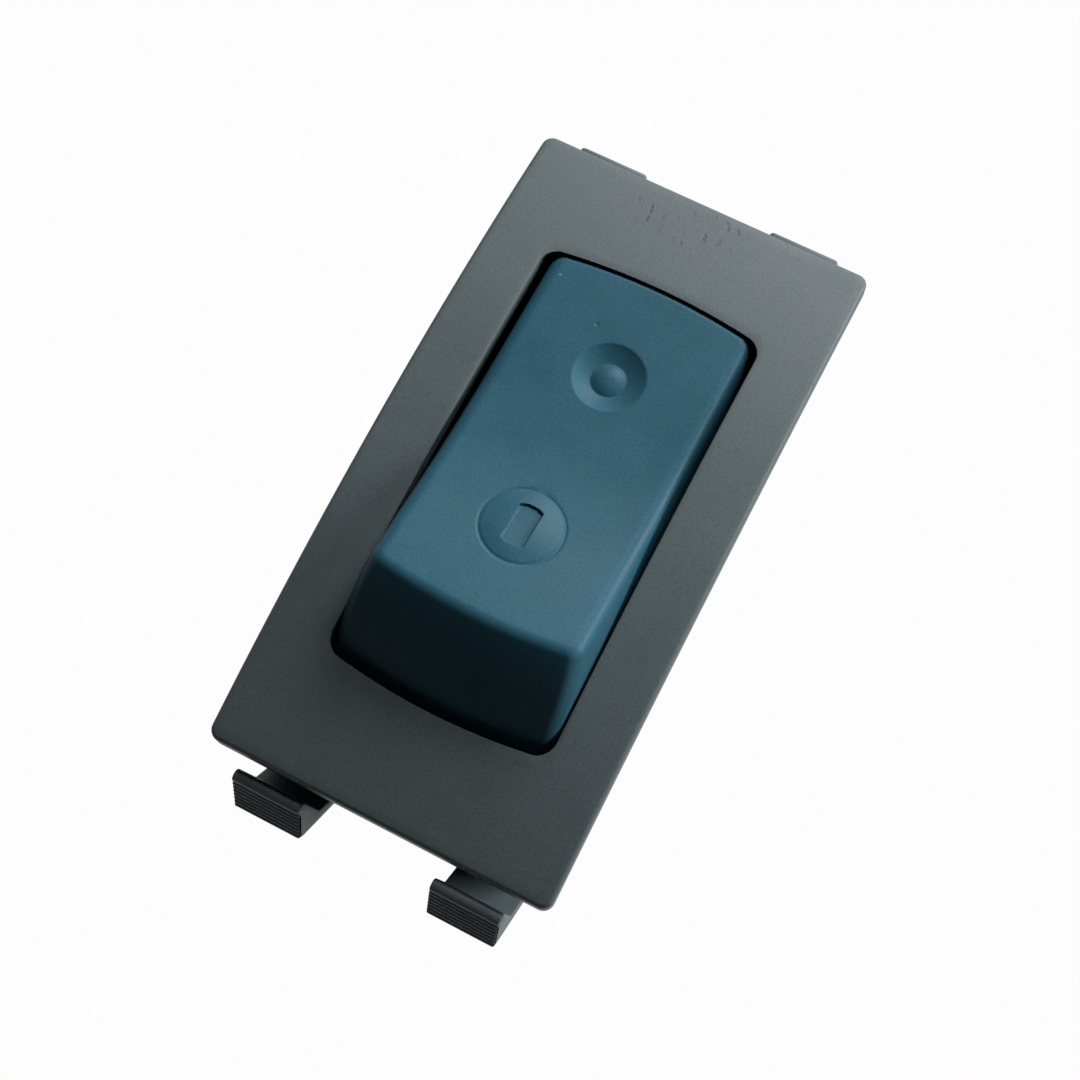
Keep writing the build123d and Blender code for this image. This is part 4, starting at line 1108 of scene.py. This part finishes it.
def buildScrew(kindName, place, direction, slotAngle):
    # place is the middle of the head's top, direction runs from the head to the tip
    kind = screwKinds[kindName]
    axis = axisTurn(direction)
    rings = [(lambda turn, r=radius: r, along) for radius, along in screwProfile(kind)]
    threadStart = kind["length"] - kind["thread"]
    shankEnd = threadStart - thread["runOut"]
    if shankEnd > kind["headHeight"] + thread["runOut"]:
        rings.append((lambda turn: kind["shankRadius"], shankEnd))
    count = int(kind["thread"] / kind["pitch"] * thread["ringsPerPitch"])
    for k in range(1, count + 1):
        along = threadStart + kind["thread"] * k / count
        rings.append((lambda turn, z=along: threadRadius(kind, z, turn), along))
    points = []
    for radiusAt, along in rings:
        points += circleRing(place, axis, radiusAt, along, thread["steps"])
    size = (len(rings), thread["steps"])
    shape = rawShape(kindName + "Screw", points, ringFaces(*size, False) + endCaps(*size))
    reach = kind["headRadius"] + 0.5
    half = kind["slotWidth"] / 2
    cutter = boxShape("slotCutter", (-reach, -half, -1), (reach, half, kind["slotDepth"]))
    slotTurn = axis.to_4x4() @ Matrix.Rotation(radians(slotAngle), 4, "Z")
    cutter.matrix_world = Matrix.Translation(Vector(place) * mm) @ slotTurn
    bpy.context.view_layer.update()
    carve(shape, [cutter], "DIFFERENCE")
    dressPiece(shape, "plated_steel", "housing", sharpAngle=40)
    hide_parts(kind["node"])


def middleOf(name):
    low, high = nodeBox[name]
    return [(a + b) / 2 for a, b in zip(low, high)]


def placeScrews():
    # the screws' places come from the boxes of the CAD nodes
    outerY = nodeBox["clamp_screws"][1][1]
    for name in ("clamp_block_common", "clamp_block_no", "clamp_block_nc"):
        x, y, z = middleOf(name)
        side = 1 if y > 0 else -1
        buildScrew("clamp", (x, side * outerY, z), (0, -side, 0), 0)
    coverLow = nodeBox["cover_screws"][0][2]
    for side in (-1, 1):
        buildScrew("cover", (side * screwKinds["cover"]["spacing"] / 2, 0, coverLow), (0, 0, 1), 0)
    low, high = nodeBox["micro_screws"]
    headRadius = screwKinds["micro"]["headRadius"]
    for y in (low[1] + headRadius, high[1] - headRadius):
        buildScrew("micro", (low[0], y, middleOf("micro_screws")[2]), (1, 0, 0), 90)


placeScrews()
print("screws built")


# Camera, light and stage

camera = dict(place=(20.560, -32.330, 122.898), turn=(0.283838, 0.032476, 0.477593),
              focal=1900.0, image=1080.0, sensor=36.0)  # focal and image in pixels, sensor in millimetres
cameraData = bpy.data.cameras.new("photoCamera")
cameraData.sensor_width = camera["sensor"]
cameraData.lens = camera["focal"] * camera["sensor"] / camera["image"]
cameraData.clip_start = 0.005
cameraObject = bpy.data.objects.new("photoCamera", cameraData)
cameraObject.location = Vector(camera["place"]) * mm
cameraObject.rotation_euler = camera["turn"]
scene.collection.objects.link(cameraObject)
scene.camera = cameraObject

lamps = dict(
    window=dict(place=(306, 239, 97), size=200, power=2.2),
    above=dict(place=(29, 330, 224), size=200, power=2.05),
)
for name, look in lamps.items():
    lampData = bpy.data.lights.new(name, "AREA")
    lampData.shape = "SQUARE"
    lampData.size = look["size"] * mm
    lampData.energy = look["power"]
    lamp = bpy.data.objects.new(name, lampData)
    lamp.location = Vector(look["place"]) * mm
    lamp.rotation_euler = (-lamp.location).to_track_quat("-Z", "Y").to_euler()
    scene.collection.objects.link(lamp)

stage = dict(
    floorRadius=900.0, wallRadius=1300.0, wallHeight=900.0, floorSteps=3, wallSteps=14, steps=96,
    color=(0.25, 0.25, 0.25), seenWhite=0.98, air=(1.0, 1.0, 1.0), airStrength=0.02,
)


def stagePaper():
    # grey paper that light bounces off; the camera, gloss and glass see it as white
    material, tree, shader = newFinish("studioPaper", stage["color"], 0.9, specular=0.0)
    rays = nodeIn(tree, "LightPath")
    seen = mathOf(tree, "MAXIMUM", rays.outputs["Is Camera Ray"], rays.outputs["Is Glossy Ray"])
    seen = mathOf(tree, "MAXIMUM", seen, rays.outputs["Is Transmission Ray"])
    glow = nodeIn(tree, "Emission")
    mix = nodeIn(tree, "MixShader")
    tree.links.new(mathOf(tree, "MULTIPLY", seen, stage["seenWhite"]), mix.inputs["Fac"])
    tree.links.new(shader.outputs["BSDF"], mix.inputs[1])
    tree.links.new(glow.outputs["Emission"], mix.inputs[2])
    tree.links.new(mix.outputs["Shader"], tree.nodes["Material Output"].inputs["Surface"])
    return material


def buildStage():
    # a round floor that turns up into a wall
    bottom = cadBox[0][2] / mm
    curve = stage["wallRadius"] - stage["floorRadius"]
    floorSteps = stage["floorSteps"]
    profile = [(stage["floorRadius"] * k / floorSteps, bottom) for k in range(1, floorSteps + 1)]
    for k in range(1, stage["wallSteps"] + 1):
        a = pi / 2 * k / stage["wallSteps"]
        profile.append((stage["floorRadius"] + curve * sin(a), bottom + curve * (1 - cos(a))))
    profile.append((stage["wallRadius"], bottom + stage["wallHeight"]))
    points = []
    for radius, z in profile:
        points += [(x, y, z) for x, y in circlePoints(0, 0, radius, stage["steps"])]
    faces = ringFaces(len(profile), stage["steps"], False)
    faces.append(tuple(range(stage["steps"])))
    mesh = bpy.data.meshes.new("studioFloor")
    mesh.from_pydata([Vector(p) * mm for p in points], [], faces)
    mesh.shade_smooth()
    mesh.materials.append(stagePaper())
    bowl = bpy.data.objects.new("studioFloor", mesh)
    scene.collection.objects.link(bowl)


def fillAir():
    world = bpy.data.worlds.new("studioAir")
    world.use_nodes = True
    air = world.node_tree.nodes["Background"]
    air.inputs["Color"].default_value = (*stage["air"], 1)
    air.inputs["Strength"].default_value = stage["airStrength"]
    scene.world = world


buildStage()
fillAir()
print("camera, light and stage set")
